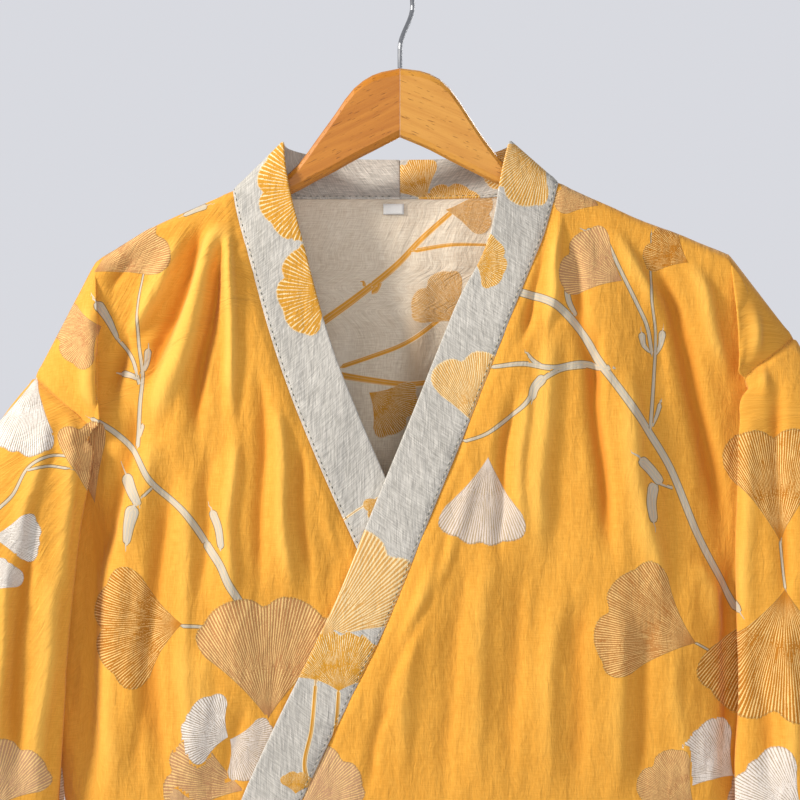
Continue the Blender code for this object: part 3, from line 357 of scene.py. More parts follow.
def outer_points(side, drop, start, face_share):
    """A row from the last body column to the seam, through the valley and round the fold."""
    if drop > ARMPIT_DROP:
        z = side_z(side, drop)
        seam = np.array([SIDES[side].at("z", "out", z), 0.0, z])
    else:
        seam = spot(SEAMS[side], drop)
    seam[1] *= face_share
    to_valley, to_fold, to_seam = POCKET_STEPS
    if drop <= FOLDED_DROP:
        valley = spot(VALLEYS[side], drop)
        fold = spot(FOLDS[side], drop)
        valley[1] *= face_share
        fold[1] *= face_share
        points = curve(start, valley, to_valley, 0.5)
        points += curve(valley, fold, to_fold, 0.5)
        return points + curve(fold, seam, to_seam, 0.0)
    if drop <= VALLEY_DROP:
        valley = spot(VALLEYS[side], drop)
        valley[1] *= face_share
        return curve(start, valley, to_valley + 1, 0.5) + curve(valley, seam, to_fold + to_seam - 1, 0.0)
    steps = sum(POCKET_STEPS)
    points = []
    rounding = ramp(drop, *POCKET_ROUNDING)
    pocket_floor = POCKET_FLOOR * face_share + POCKET_SEAM_SHARE * seam[1]
    for i in range(1, steps + 1):
        t = i / steps
        pocket = 1 - ramp(t, 0.0, 1.0)
        point = mix(start, seam, t)
        floor = mix(pocket_floor, seam[1], rounding) if i < steps else seam[1]
        point[1] = mix(floor, start[1], mix(pocket, side_profile(t), rounding))
        points.append(point)
    if rounding < 1:
        points[-2][0] = mix(seam[0] - POCKET_TURN, points[-2][0], rounding)
        points[-2][2] = mix(seam[2], points[-2][2], rounding)
    return points


def curve(start, end, steps, ease):
    """Straight across, with its depth easing in and out by the share given."""
    points = []
    for i in range(1, steps + 1):
        t = i / steps
        point = mix(start, end, t)
        point[1] = mix(start[1], end[1], mix(t, ramp(t, 0.0, 1.0), ease))
        points.append(point)
    return points


def front_row(side, drop):
    forward = front_forward if side > 0 else under_forward
    fall = arch_drop(drop)
    inner_z = mix(NECK_Z[side] - fall, HEM_Z, (fall / FRONT_DROP) ** 3)
    if drop == 0:
        inner_z = NECK_Z[side]
    inner_out = NECKS[side].at("z", "out", inner_z)
    points = []
    for i in range(BODY_STEPS + 1):
        out = mix(inner_out, BODY_OUT[side], i / BODY_STEPS)
        z = inner_z if i == 0 else column_z(side, out, drop, inner_out)
        depth = 0.0 if drop == 0 else forward(side * out, z)
        points.append(np.array([out, depth, z]))
    return points + outer_points(side, drop, points[-1], 1.0)


def front_grid(side):
    return np.array([front_row(side, drop) for drop in ROW_DROPS + LOWER_DROPS])


def back_outs(side):
    outer = between(NECK_OUT[side], BODY_OUT[side], BODY_STEPS)
    return list(NECK_BACK_STEPS) + [NECK_OUT[side]] + outer


def back_row(side, drop):
    points = []
    fall = arch_drop(drop)
    table_out = NECK_BACK.columns["out"][-1]
    table_z = NECK_BACK.columns["z"][-1]
    for out in back_outs(side):
        if out < NECK_OUT[side]:
            scaled = out * table_out / NECK_OUT[side]
            top = NECK_BACK.at("out", "z", scaled) + (NECK_Z[side] - table_z) * (scaled / table_out) ** 3
            z = mix(top - fall, HEM_Z, (fall / FRONT_DROP) ** 3)
            depth = NECK_BACK.at("out", "depth", scaled) if drop == 0 else back_depth(side * out, z)
        else:
            z = column_z(side, out, drop, NECK_OUT[side])
            depth = 0.0 if drop == 0 else back_depth(side * out, z)
        points.append(np.array([out, -depth, z]))
    return points + outer_points(side, drop, points[-1], -BACK_SHARE)


FLAT_STEPS = (0.06, 0.13)
TURN_OUT_SHARE = 0.28
TURN_DEPTH_SHARE = 0.42
SLEEVE_STEPS = (0.24, 0.48, 0.72, 0.9, 1.0)


def sleeve_start(side, drop, share):
    if drop > ARMPIT_DROP:
        table = UNDERARMS[side]
        return np.array([table.at("drop", "out", drop), 0.0, table.at("drop", "z", drop)])
    start = spot(SEAMS[side], drop)
    start[1] *= share
    return start


def sleeve_half(side, drop, share):
    """From the seam or underarm round one face of the sleeve to its outer crease.

    High up the sleeve leaves the seam flat; lower down it first folds forward over the seam.
    """
    start = sleeve_start(side, drop, share)
    sleeve = SLEEVES[side]
    rim = np.array([sleeve.at("drop", "out", drop), 0.0, sleeve.at("drop", "z", drop)])
    bulge = sleeve.at("drop", "bulge", drop) * share
    if drop <= FOLDED_DROP:
        path = [mix(start, rim, step) for step in FLAT_STEPS]
        fold = start
        tucked = [start] + path
        first = FLAT_STEPS[-1]
    else:
        fold = spot(FOLDS[side], drop)
        fold[1] *= share
        middle = mix(start, fold, 0.5)
        if drop > VALLEY_DROP:
            middle = mix(start, fold, TURN_OUT_SHARE)
            middle[1] = mix(start[1], fold[1], TURN_DEPTH_SHARE)
        tucked = [start, middle, fold]
        first = 0.0
    nearer = mix(fold[1], bulge, 0.8)
    heights = ((0, fold[1]), (0.25, nearer), (0.5, bulge), (0.75, bulge * 0.88), (0.92, bulge * 0.52), (1, 0))
    profile = Table("s forward", heights)
    if drop == 0:
        return [start.copy() for _ in range(3 + len(SLEEVE_STEPS))]
    if first:
        for point, step in zip(tucked[1:], FLAT_STEPS):
            point[1] = profile.at("s", "forward", step)
    points = list(tucked)
    for step in SLEEVE_STEPS:
        s = mix(first, 1.0, step)
        point = mix(fold, rim, s)
        point[1] = profile.at("s", "forward", s)
        points.append(point)
    return points


def sleeve_grid(side):
    rows = []
    for drop in ROW_DROPS + CUFF_DROPS:
        front = sleeve_half(side, drop, 1.0)
        back = sleeve_half(side, drop, -BACK_SHARE)
        rows.append(front + back[::-1][1:])
    return np.array(rows)


def band_edge(side, run, seam, ahead):
    """The free edge that belongs to a point of the band's seam."""
    forward = front_forward if side > 0 else under_forward
    last = TABLE_RUN[side]
    standing = np.array([BANDS[side].at("run", name, min(run, last)) for name in ("out", "forward", "z")])
    if run <= last:
        return standing
    direction = (ahead - seam)[[0, 2]]
    direction /= np.linalg.norm(direction)
    flat = np.array([seam[0] + direction[1] * BAND_WIDTH, 0.0, seam[2] - direction[0] * BAND_WIDTH])
    flat[1] = forward(side * flat[0], flat[2]) + BAND_RAISE
    lying = ramp(run, last, last + BAND_SETTLE)
    shift = standing - np.array([NECKS[side].at("z", "out", NECK_Z[side] - last), 0.0, NECK_Z[side] - last])
    carried = np.array([seam[0] + shift[0], flat[1], seam[2] + shift[2]])
    return mix(carried, flat, lying)


def band_grid(side, front, back):
    """Rows from the centre back round the neck and down the front; columns from free edge to seam."""
    seams = [np.array(point) for point in back]
    runs = [point[0] - NECK_OUT[side] for point in back]
    for row in front[1:]:
        seams.append(row[0])
        runs.append(NECK_Z[side] - row[0][2])
    rows = []
    for i, (run, seam) in enumerate(zip(runs, seams)):
        ahead = seams[i + 1] if i + 1 < len(seams) else 2 * seam - seams[i - 1]
        edge = band_edge(side, run, seam, ahead)
        row = [mix(edge, seam, share) for share in BAND_SHARES]
        if run > TABLE_RUN[side]:
            forward = front_forward if side > 0 else under_forward
            for point in row[1:3]:
                point[1] = forward(side * point[0], point[2]) + BAND_RAISE
        rows.append(row)
    return np.array(rows)


def side_profile(t):
    """How a body row falls from its last flat column to the side seam."""
    return max(1 - t**2.4, 0.0) ** 0.6


# Panels in one frame

def world(grid, side):
    """Distances out, forward and up become X, Y and Z, and columns always turn the same way."""
    turned = np.stack([side * grid[..., 0], -grid[..., 1], grid[..., 2]], axis=-1)
    return turned if side > 0 else turned[:, ::-1]


POINTS_A_MM = 500  # how finely places are told apart


def point_key(point):
    return tuple(np.round(point * POINTS_A_MM).astype(int))


def quads(grid):
    rows, columns = grid.shape[:2]
    for i in range(rows - 1):
        for j in range(columns - 1):
            yield (i, j), (i + 1, j), (i + 1, j + 1), (i, j + 1)


def shared_normals(grids):
    """One outward direction for each place, so that neighbouring panels bend as one."""
    sums = {}
    for grid in grids.values():
        for corners in quads(grid):
            a, b, c, d = (grid[corner] for corner in corners)
            normal = np.cross(c - a, d - b)
            for corner in corners:
                key = point_key(grid[corner])
                sums[key] = sums.get(key, 0) + normal
    normals = {}
    for name, grid in grids.items():
        found = np.array([sums[point_key(point)] for point in grid.reshape(-1, 3)])
        lengths = np.linalg.norm(found, axis=1, keepdims=True)
        normals[name] = (found / np.maximum(lengths, 1e-9)).reshape(grid.shape)
    return normals


def garment_grids():
    grids = {}
    halves = {}
    for side, name in SIDE_NAMES.items():
        front = front_grid(side)
        halves[side] = np.array([back_row(side, drop) for drop in ROW_DROPS + LOWER_DROPS])
        neckline = halves[side][0][: len(NECK_BACK_STEPS) + 1]
        grids["front_" + name] = world(front, side)
        grids["sleeve_" + name] = world(sleeve_grid(side), side)
        grids["collar_" + name] = world(band_grid(side, front, neckline), side)
    left = world(halves[1], 1)[:, ::-1]
    right = world(halves[-1], -1)[:, ::-1]
    grids["back"] = np.concatenate([left, right[:, 1:]], axis=1)
    return grids


# Motifs of the jacquard, in millimetres on the hanging cloth. A leaf fans from its base to its
# tip: base x and z, tip x and z, half angle, whiteness, share of light veins, veins a radian
FRONT_LEAVES = rows_of("""
    -149,-450.4,-209.8,-455.3,54,0,0.35,56 -91.1,-517,-92.5,-433,44,0.1,0.5,66
    -106.9,-565.7,-160.1,-550.5,36,0.15,0.48,44 -140.8,-572.6,-158.7,-580.9,60,0.2,0.42,40
    -118,-528.4,-148,-516.5,68,0.95,0.5,30 -117.3,-529.8,-90,-545,66,0.8,0.5,32
    -207,-245.5,-238,-256.6,62,0.1,0.4,44 -212.5,-208.3,-165.6,-180.7,34,0.1,0.45,60
    -252.5,-280,-262.2,-333.8,30,1,0.45,60 -211.1,-369,-220.8,-313.1,20,0.1,0.5,60
    -280.1,-390.4,-246.3,-391.1,36,1,0.45,50 -280.1,-427.7,-267.7,-407,50,1,0.45,50
    -280.1,-576.7,-258.1,-533.9,44,0.2,0.48,40 153.9,-214.5,115.2,-193.1,46,0.15,0.42,40
    60.7,-335.2,55.2,-395.9,36,0.75,0.6,56 204.2,-464.2,139.4,-439.4,46,0.05,0.4,72
    231.1,-557.4,197.3,-529.8,50,0.9,0.3,42 202.9,-576.7,172.5,-546.4,40,0.1,0.5,60
    276,-580.9,236,-550.5,46,0.9,0.35,40 260.8,-394.6,256.7,-317.3,34,0,0.45,80
    264.3,-425.6,256.7,-516,46,0,0.4,72 -66.9,-578.1,-37.3,-542.9,44,0.2,0.45,42
    138,-162,110.4,-148.9,40,0.1,0.5,50 200.1,-201.4,172.5,-186.2,44,0,0.25,42
""")
# Each stem: its kind, its half width at the start and at the end, and x and z of its points
FRONT_STEMS = """
    branch 3.2 2.8 82.8,-222.1 105.6,-229.6 124.2,-248.3 140.1,-273.8 156.6,-296.6 170.4,-317.3
    184.2,-339.4 207,-393.2 232.5,-440.1; branch 1.8 3.0 64.9,-273.8 84.9,-271.7 105.6,-274.5
    124.2,-271.7 142.1,-274.5; branch 1.5 2.5 45.5,-324.9 59.3,-320 72.4,-310.4 86.2,-299.3 95.2,-285.5
    107.6,-276.6 129.7,-272.4; branch 1.8 1.8 142.1,-183.4 153.2,-208.3 163.5,-229.6 170.4,-244.8
    173.9,-264.1; branch 1.1 1.8 174.6,-181.3 173.9,-225.5 176.6,-248.3 175.3,-279.3 172.5,-315.9; bud
    2.3 3.4 131.1,-179.3 138,-182 142.8,-188.2; bud 2.9 1.4 167,-252.4 168.4,-259.3 172.5,-263.5; bud
    3.0 1.4 181.5,-251 180.1,-259.3 175.9,-266.2; bud 2.1 1.4 179.4,-300 177.3,-306.9 173.9,-314.5; bud
    2.5 2.1 115.2,-222.1 116.6,-229 120.7,-237.2; bud 3.9 3.4 97.3,-282.8 92.5,-288.3 91.1,-293.8; bud
    1.5 2.3 88.3,-265.5 91.1,-269 96.6,-273.1; bud 4.1 3.8 167,-339.4 172.5,-344.9 178,-351.8; bud 4.5
    3.4 173.9,-357.3 172.5,-367 173.9,-378; branch 1.5 1.5 175.9,-353.2 187.7,-357.3; branch 1.2 1.2
    204.2,-464.2 218,-472.5 232.5,-484.3; branch 1.4 1.4 260.8,-393.2 262.2,-408.4 264.3,-425.6; branch
    2.3 2.8 -211.1,-310.4 -196.6,-319.4 -184.2,-331.1 -172.5,-351.8 -148.3,-373.9 -132.5,-396.6; bud 3.4
    3.0 -132.5,-396.6 -122.8,-411.1 -118,-422.2 -110.4,-434.6; bud 3.4 2.8 -128.3,-375.2 -124.9,-383.5
    -122.8,-396.6; bud 4.8 3.4 -187.7,-351.8 -184.2,-360.1 -180.8,-367; bud 5.2 3.1 -184.2,-373.9
    -186.3,-382.8 -187.7,-393.2; branch 1.4 1.4 -179.4,-365.6 -171.1,-357.3; branch 1.1 2.1
    -177.3,-206.9 -181.5,-234.5 -180.8,-257.2 -178,-277.9 -179.4,-301.4 -180.8,-328.3; branch 1.7 1.7
    -208.4,-234.5 -196.6,-253.1 -185.6,-266.9 -180.1,-285.5; bud 3.9 2.1 -208.4,-231.7 -202.9,-240
    -196.6,-252.4; bud 2.8 1.8 -174.6,-263.5 -175.9,-273.1 -178.7,-278.6; bud 2.8 1.8 -190.4,-278.6
    -184.9,-280 -180.1,-282.8; bud 2.1 1.4 -177.3,-314.5 -179.4,-321.4 -181.5,-328.3; branch 1.7 1.4
    -280.1,-375.2 -266.3,-362.8 -253.9,-342.1 -241.5,-335.2 -226.3,-335.2; branch 1.4 1.4 -255.3,-344.9
    -242.9,-342.1 -227.7,-343.5; branch 1.7 1.4 -149,-451.8 -136.6,-452.5 -120.1,-456; bud 1.8 2.5
    -149,-168.2 -141.4,-164.8 -135.9,-162.7
"""
LEFT_BAND_LEAVES = rows_of("""
    -55.9,-462.9,-3.5,-400.2,40,0.12,0.6,50 -42.1,-496.7,-40.7,-455.3,74,0,0.25,44
    -71.8,-567.1,-70.4,-551.9,60,0,0.2,40 102.1,-117.2,69,-151.7,46,0.05,0.4,40
    51.1,-201.4,73.1,-197.2,84,0,0.3,26 56.6,-320,42.8,-266.2,34,0.1,0.5,60
    18.6,-157.9,2.8,-128.2,46,0,0.38,36 35.9,-172.4,34.5,-144.8,66,0,0.2,34
""")
LEFT_BAND_STEMS = """
    pink 1.8 1.5 -55.2,-462.2 -56.6,-476 -58,-492.5; orange 1.7 1.9 -58,-492.5 -60.7,-522.2 -65.5,-550.5
    -61.4,-564.3; orange 1.7 1.7 -42.1,-496.7 -43.5,-513.9 -46.2,-531.2
"""
RIGHT_BAND_LEAVES = rows_of("""
    -57,-150,-98,-153,86,0,0.15,24 -43,-221,-83,-211.5,80,0,0.15,24 -5.5,-365.6,-23.5,-373.9,30,0,0.3,40
""")
RIGHT_BAND_STEMS = """
    pink 1.1 1.1 -39.3,-379.4 -27.6,-371.1 -15.9,-364.9
"""
BACK_LEAVES = rows_of("""
    31.7,-162.7,64.9,-166.2,34,0.1,0.5,56 45.5,-242.8,16.6,-215.2,44,0.05,0.55,64
    -22.1,-291.1,6.9,-310.4,50,0,0.3,40
""")
BACK_STEMS = """
    branch 3.3 2.3 -58,-244.1 -27.6,-222.1 -2.1,-201.4 15.9,-182.7 35.9,-164.8; branch 2.1 1.4
    10.3,-191.7 34.5,-187.6 69,-187.6; branch 2.1 2.1 -41.4,-273.1 -20.7,-266.2 6.9,-255.2 27.6,-240;
    bud 2.3 3.0 -24.1,-216.5 -18.6,-220.7 -15.2,-214.5; branch 2.9 2.1 -44.8,-278.6 -19.3,-282.8
    6.9,-285.5 48.3,-277.3
"""
CREASES = rows_of("""
    -116.6,-162,-113.2,-313.8,4.8,3.4,2 -122.8,-162.7,-171.1,-318.7,9.7,4.7,-3
    -133.9,-166.9,-177.3,-291.1,6.9,-4.2,-3 -147.7,-168.2,-193.2,-263.5,8.3,3.6,-3
    -121.4,-186.2,-140.8,-324.2,6.2,-3.9,2 -172.5,-180.7,-201.5,-222.1,6.2,-3.4,2
    -179.4,-227.6,-198.7,-298,6.2,-2.6,3 -165.6,-321.4,-187.7,-407,11.8,1.7,4
    -182.2,-299.3,-209.8,-415.3,8.3,-2.6,-4 -157.3,-344.9,-161.5,-572.6,8.7,-2.1,10
    -140.8,-344.9,-144.9,-534.6,7.9,1.6,5 -129,-331.1,-134.5,-441.5,6.3,-1.4,2
    -113.2,-317.3,-115.9,-441.5,6.2,2.4,2 -95.2,-277.3,-98,-434.6,5.5,-2.2,-2
    -82.8,-295.2,-74.5,-434.6,6.2,2.2,2 -69,-317.3,-62.1,-427.7,4.8,-1.8,2
    -56.6,-331.1,-44.8,-407,4.7,1,-1 -194.6,-407,-198.7,-572.6,11.2,1.9,4
    -212.5,-344.9,-218,-572.6,11.2,-2.2,-4 -128.3,-462.2,-140.8,-572.6,11.2,1.5,5
    -106.9,-503.6,-118.7,-572.6,6.3,-1.1,2 -172.5,-448.4,-180.8,-572.6,7.1,-1.2,2
    108.3,-162.7,102.1,-248.3,5.5,3.4,-2 100.7,-173.8,82.8,-257.9,4.8,-2.8,-2
    105.6,-248.3,96.6,-407,10.3,2.8,3 118.7,-186.2,138,-296.6,6.2,-2.4,3
    133.9,-248.3,146.3,-407,6.2,-3.4,3 77.3,-296.6,69,-407,4.8,-2,2 87.6,-282.8,82.8,-393.2,5.5,1.8,2
    138,-166.9,184.9,-248.3,6.9,2.4,-4 175.9,-201.4,222.2,-396.6,8.3,-3.8,-8
    157.3,-277.3,182.2,-434.6,9,2.6,5 200.1,-193.1,224.9,-282.8,6.9,2.6,-3
    205.6,-407,223.6,-462.2,7.1,1.7,-2 190.4,-462.2,200.1,-572.6,8.7,1.4,3
    172.5,-448.4,167.7,-572.6,8.7,-1.7,4 150.4,-434.6,147.7,-572.6,9.5,1.5,-3
    128.3,-427.7,124.2,-572.6,9.5,-1.6,4 107.6,-434.6,102.1,-572.6,9.5,1.4,3
    85.6,-407,78.7,-572.6,7.9,-1.2,4 64.9,-393.2,53.8,-572.6,8.7,1.2,5 46.9,-407,31.7,-572.6,7.1,-1.1,4
    31.7,-379.4,0,-572.6,7.9,1.2,8 53.8,-344.9,0,-462.2,6.3,1.1,-5 35.9,-379.4,-19.3,-517.4,4.7,-1.1,-4
    -5.5,-496.7,-23.5,-572.6,4.7,-1.1,2 229.1,-407,227.7,-572.6,6.2,-3.2,1
    -234.6,-407,-248.4,-572.6,8.3,2.8,3 -251.2,-365.6,-263.6,-572.6,6.9,-2.6,3
    -222.2,-296.6,-230.5,-434.6,6.2,2.4,2 -215.3,-227.6,-211.1,-310.4,6.2,2.6,1
    -240.1,-310.4,-259.4,-407,6.9,2.2,3 -266.3,-407,-274.6,-545,6.2,2.4,2
    245.6,-227.6,251.2,-296.6,5.5,2.4,1 242.9,-310.4,240.1,-462.2,6.2,2.6,2
    259.4,-282.8,265,-448.4,6.2,-2.4,2 248.4,-462.2,256.7,-572.6,6.9,-2.2,3
    267.7,-448.4,274.6,-572.6,6.2,2.2,2
""")
# Creases of the hidden cloth, in the same columns as the others
SKIRT_CREASES = rows_of("""
    -190,-650,-206,-1240,13,3.4,6 -150,-660,-138,-1180,11,-3.2,-5 -96,-640,-104,-1270,14,3,8
    -48,-660,-36,-1100,10,-2.8,4 6,-650,18,-1280,14,3.2,-7 62,-640,58,-1160,11,-3,5
    104,-660,122,-1260,13,3.4,-6 158,-650,170,-1220,12,-3.2,6 196,-680,222,-1270,12,2.8,-4
""")
BACK_CREASES = rows_of("""
    -150,-200,-120,-430,14,3.2,8 -92,-190,-84,-540,12,-2.8,-5 -36,-230,-48,-560,15,3,6
    14,-200,22,-470,11,-2.6,4 70,-210,60,-560,14,3,-7 128,-190,112,-430,12,-3,5
    168,-230,150,-520,13,3.2,-6 -182,-300,-190,-560,10,-2.8,4 -320,-330,-300,-560,13,2.8,5
    -350,-420,-362,-560,10,-2.2,3 330,-330,312,-560,13,2.8,-5 362,-420,372,-550,10,-2.2,3
    296,-330,276,-540,9,2.4,3 -284,-350,-270,-560,9,2.4,-3
""")

# Hidden cloth repeats the visible motifs: the shift in x and z of each repeat
FRONT_REPEATS = ((34, -452), (-28, -886))
BACK_REPEATS = ((-14, -6), (26, -440), (-30, -874))
BACK_CLEAR = (-100, 100, -330)  # left, right and foot of the field with its own motifs

# Longest steps between the cloth's points: above the belt, on the back, and below COARSE_Z
FINE_STEP = 3.2
BACK_STEP = 4.3
COARSE_STEP = 8.0
COARSE_Z = -598.0
PANEL_CLOTH = 1.1
BAND_CLOTH = 2.3
EDGE_ROUND = 0.9
ALLOWANCE_OUT = 205.0  # the armhole's allowance is past this x and above this z
ALLOWANCE_FOOT = -330.0
LEAF_MARGIN = 3.6  # cloth round a leaf whose faces also carry its map
LEAF_LENGTH = 1.07
LEAF_SPREAD = 1.12
NOWHERE = (0.0, -9.0)  # a place far off any leaf
STEM_KINDS = {"branch": 0.0, "bud": 0.15, "pink": 0.6, "orange": 1.0}
STEM_MARGIN = 3.2

# Creases: shares of a crease's length where it swells and dies away, how far and often it
# wanders, and its steep flank's share of its width
CREASE_FADES = (-0.08, 0.2, 0.7, 1.08)
CREASE_WANDER = 1.2
CREASE_TURNS = 9
STEEP_FLANK = 0.7
FOLD_SCALE = 1.9
FULL_FOLD = 6.0  # height of a fold at which the painted highlight on its crest and the painted shade in its valley are full
FACE_TURN = 0.7  # how soon a fold fades as the cloth turns to the side
SKIRT_BEHIND = 0.8
SEAM_CALM = (1, 16)  # distances from a seam between which folds come back
WAIST_CALM = (3, 34)  # the same from the belt's edge
CALM_ABOVE = (5, 34)  # drops below the shoulder between which the cloth begins to crease
CALMEST = (0.25, 0.3)  # what is left of the puckers at the shoulder and at the belt
BAND_RIPPLE = 0.35
OVER_EDGE = (-10.0, -345.0, 0.432)  # inner edge of the over band: x and z of a point, slope
COVERED = (-12, -1)  # distances from that edge over which the under front's crests die away
# Puckers: height, pull of the lean, and width, height and seed of their cells
COCKLE_CELLS = (97, 89)
LEAN = 5
LEAN_CELL = (60, 90, 3)
PUCKERS = ((0.5, 1, (8, 34, 5)), (0.5, 2, (24, 70, 7)), (0.16, 0, (4.4, 12, 11)))
# Relief at a seam: height and half width, and the ridge's distance
SEAM_GROOVE = (0.55, 1.5)
SEAM_RIDGE = (0.4, 2.4, 6)


# Dense cloth

def ramps(values, start, end):
    t = np.clip((values - start) / (end - start), 0.0, 1.0)
    return t * t * (3 - 2 * t)


def filled(grid, axis, step, coarse_below=None):
    """More points along one axis, on a smooth curve through the grid's own."""
    grid = np.moveaxis(grid, axis, 0)
    chords = np.linalg.norm(np.diff(grid[..., :3], axis=0), axis=-1)
    spans = np.maximum(chords.mean(axis=1), 0.05)[:, None, None]
    slopes = np.diff(grid, axis=0) / spans
    inner = (slopes[:-1] * spans[1:] + slopes[1:] * spans[:-1]) / (spans[1:] + spans[:-1])
    tangents = np.concatenate([slopes[:1], inner, slopes[-1:]])
    rows = []
    for i, reach in enumerate(chords.max(axis=1)):
        lower = coarse_below is not None and grid[i, :, 2].mean() < coarse_below
        count = max(1, math.ceil(reach / (COARSE_STEP if lower else step)))
        span = spans[i]
        for j in range(count):
            t = j / count
            rise = (3 - 2 * t) * t * t
            point = grid[i] * (1 - rise) + grid[i + 1] * rise
            point = point + t * (1 - t) ** 2 * span * tangents[i]
            rows.append(point + t * t * (t - 1) * span * tangents[i + 1])
    rows.append(grid[-1])
    return np.moveaxis(np.array(rows), 0, axis)


def dense(grid, normals, step, coarse_below=None):
    both = np.concatenate([grid, normals], axis=-1)
    both = filled(filled(both, 1, step), 0, step, coarse_below)
    points, directions = both[..., :3], both[..., 3:]
    lengths = np.linalg.norm(directions, axis=-1, keepdims=True)
    return points, directions / np.maximum(lengths, 1e-9)


def folds_at(x, z, folds):
    """Height of uneven folds, each steeper on one flank and fading at its ends."""
    total = np.zeros_like(x)
    swell, full, wane, gone = CREASE_FADES
    for top_x, top_z, foot_x, foot_z, half, height, bow in folds:
        run_x = foot_x - top_x
        run_z = foot_z - top_z
        length = math.hypot(run_x, run_z)
        along = ((x - top_x) * run_x + (z - top_z) * run_z) / length**2
        across = ((x - top_x) * run_z - (z - top_z) * run_x) / length
        across = across - bow * 4 * along * (1 - along)
        across = across + CREASE_WANDER * np.sin(CREASE_TURNS * along + top_x)
        fade = ramps(along, swell, full) * (1 - ramps(along, wane, gone))
        width = np.where(across > 0, half, half * STEEP_FLANK)
        total += height * fade * np.exp(-((across / width) ** 2))
    return total


def cockle(u, v, wide, tall, seed):
    """Uneven waves of about one, in cells of the given size."""
    columns, rows = COCKLE_CELLS
    heights = np.random.RandomState(seed).uniform(-1, 1, COCKLE_CELLS)
    a, b = u / wide, v / tall
    i, j = np.floor(a).astype(int), np.floor(b).astype(int)
    s, t = ramps(a - i, 0, 1), ramps(b - j, 0, 1)
    before, after = i % columns, (i + 1) % columns
    ends = []
    for row in (j % rows, (j + 1) % rows):
        ends.append(heights[before, row] * (1 - s) + heights[after, row] * s)
    return ends[0] * (1 - t) + ends[1] * t


def crinkles(u, v):
    """The gauze's puckers: long and narrow, with broad soft ones under them."""
    lean = LEAN * cockle(u, v, *LEAN_CELL)
    return sum(height * cockle(u + pull * lean, v, *cell) for height, pull, cell in PUCKERS)


def cloth_places(points):
    """Each point's place in the flat cloth: across and up, in millimetres."""
    steps = np.diff(points, axis=1)
    across = np.hypot(steps[..., 0], steps[..., 1])
    start = points[:, :1, 0]
    u = np.concatenate([start, start + np.cumsum(across, axis=1)], axis=1)
    falls = np.diff(points, axis=0)
    down = np.hypot(falls[..., 1], falls[..., 2])
    top = points[:1, :, 2]
    v = np.concatenate([top, top - np.cumsum(down, axis=0)], axis=0)
    return u, v


def run_across(points):
    """Length along each row from its first point."""
    steps = np.linalg.norm(np.diff(points, axis=1), axis=-1)
    return np.concatenate([np.zeros((len(points), 1)), np.cumsum(steps, axis=1)], axis=1)


def seam_relief(points, columns):
    """A groove at each seam, and the ridge of the allowance beside it."""
    run = run_across(points)
    total = np.zeros(run.shape)
    groove, groove_half = SEAM_GROOVE
    ridge, ridge_half, ridge_away = SEAM_RIDGE
    for column in columns:
        away = abs(run - run[:, column : column + 1 or None])
        total += ridge * np.exp(-(((away - ridge_away) / ridge_half) ** 2))
        total -= groove * np.exp(-((away / groove_half) ** 2))
    return total


def creased(name, points, normals, seams):
    """The middle surface with its folds, crinkles and seams."""
    x, z = points[..., 0], points[..., 2]
    u, v = cloth_places(points)
    front = np.clip(-normals[..., 1], 0, 1) ** FACE_TURN
    behind = np.clip(normals[..., 1], 0, 1) ** FACE_TURN
    if name == "back":
        front = np.zeros_like(front)
    crest = np.interp(x.ravel(), CREST_X, CREST_Z).reshape(x.shape)
    begin = ramps(crest - z, *CALM_ABOVE)
    waist = ramps(abs(z - BELT_Z) - BELT_WIDTH / 2, *WAIST_CALM)
    skirt = folds_at(x, z, SKIRT_CREASES)
    height = front * (folds_at(x, z, CREASES) + skirt)
    height = (height + behind * (folds_at(x, z, BACK_CREASES) + SKIRT_BEHIND * skirt)) * FOLD_SCALE
    ripple = crinkles(u, v) * mix(CALMEST[0], 1, begin) * mix(CALMEST[1], 1, waist)
    if name.startswith("collar"):
        height = height * 0
        ripple = ripple * BAND_RIPPLE
    else:
        run = run_across(points)
        height = height * ramps(np.minimum(run, run[:, -1:] - run), *SEAM_CALM)
    if name == "front_right":
        edge_x, edge_z, slope = OVER_EDGE
        covered = ramps(x - (edge_x + slope * (z - edge_z)), *COVERED)
        height = np.where(height > 0, height * (1 - covered), height)
    height = height * begin * waist
    total = height + ripple + seam_relief(points, seams)
    return points + normals * total[..., None], u, v, height


def crest_z(x):
    """Height of the cloth's top over x: the shoulder crease, then the sleeve's outer crease."""
    side = side_of(x)
    if abs(x) < SHOULDERS[side].columns["out"][-1]:
        return shoulder_z(x)
    return float(np.interp(abs(x), SLEEVES[side].columns["out"], SLEEVES[side].columns["z"]))


CREST_X = np.arange(-410.0, 411.0, 4.0)
CREST_Z = np.array([crest_z(x) for x in CREST_X])


# Motifs on the faces

def placed_leaves(rows, shift=(0, 0), flip=1):
    dx, dz = shift
    return [(flip * x + dx, z + dz, flip * tx + dx, tz + dz, *rest) for x, z, tx, tz, *rest in rows]


def placed_stems(text, shift=(0, 0), flip=1):
    placed = []
    for stem in text.split(";"):
        kind, start, end, *pairs = stem.split()
        points = np.array(rows_of(" ".join(pairs))) * (flip, 1) + shift
        placed.append((kind, float(start), float(end), points))
    return placed


def rounded(points):
    """A smooth line through a stem's points."""
    grid = np.concatenate([points[:, :1], 0 * points[:, :1], points[:, 1:]], axis=1)[:, None, :]
    return filled(grid, 0, FINE_STEP)[:, 0][:, (0, 2)]


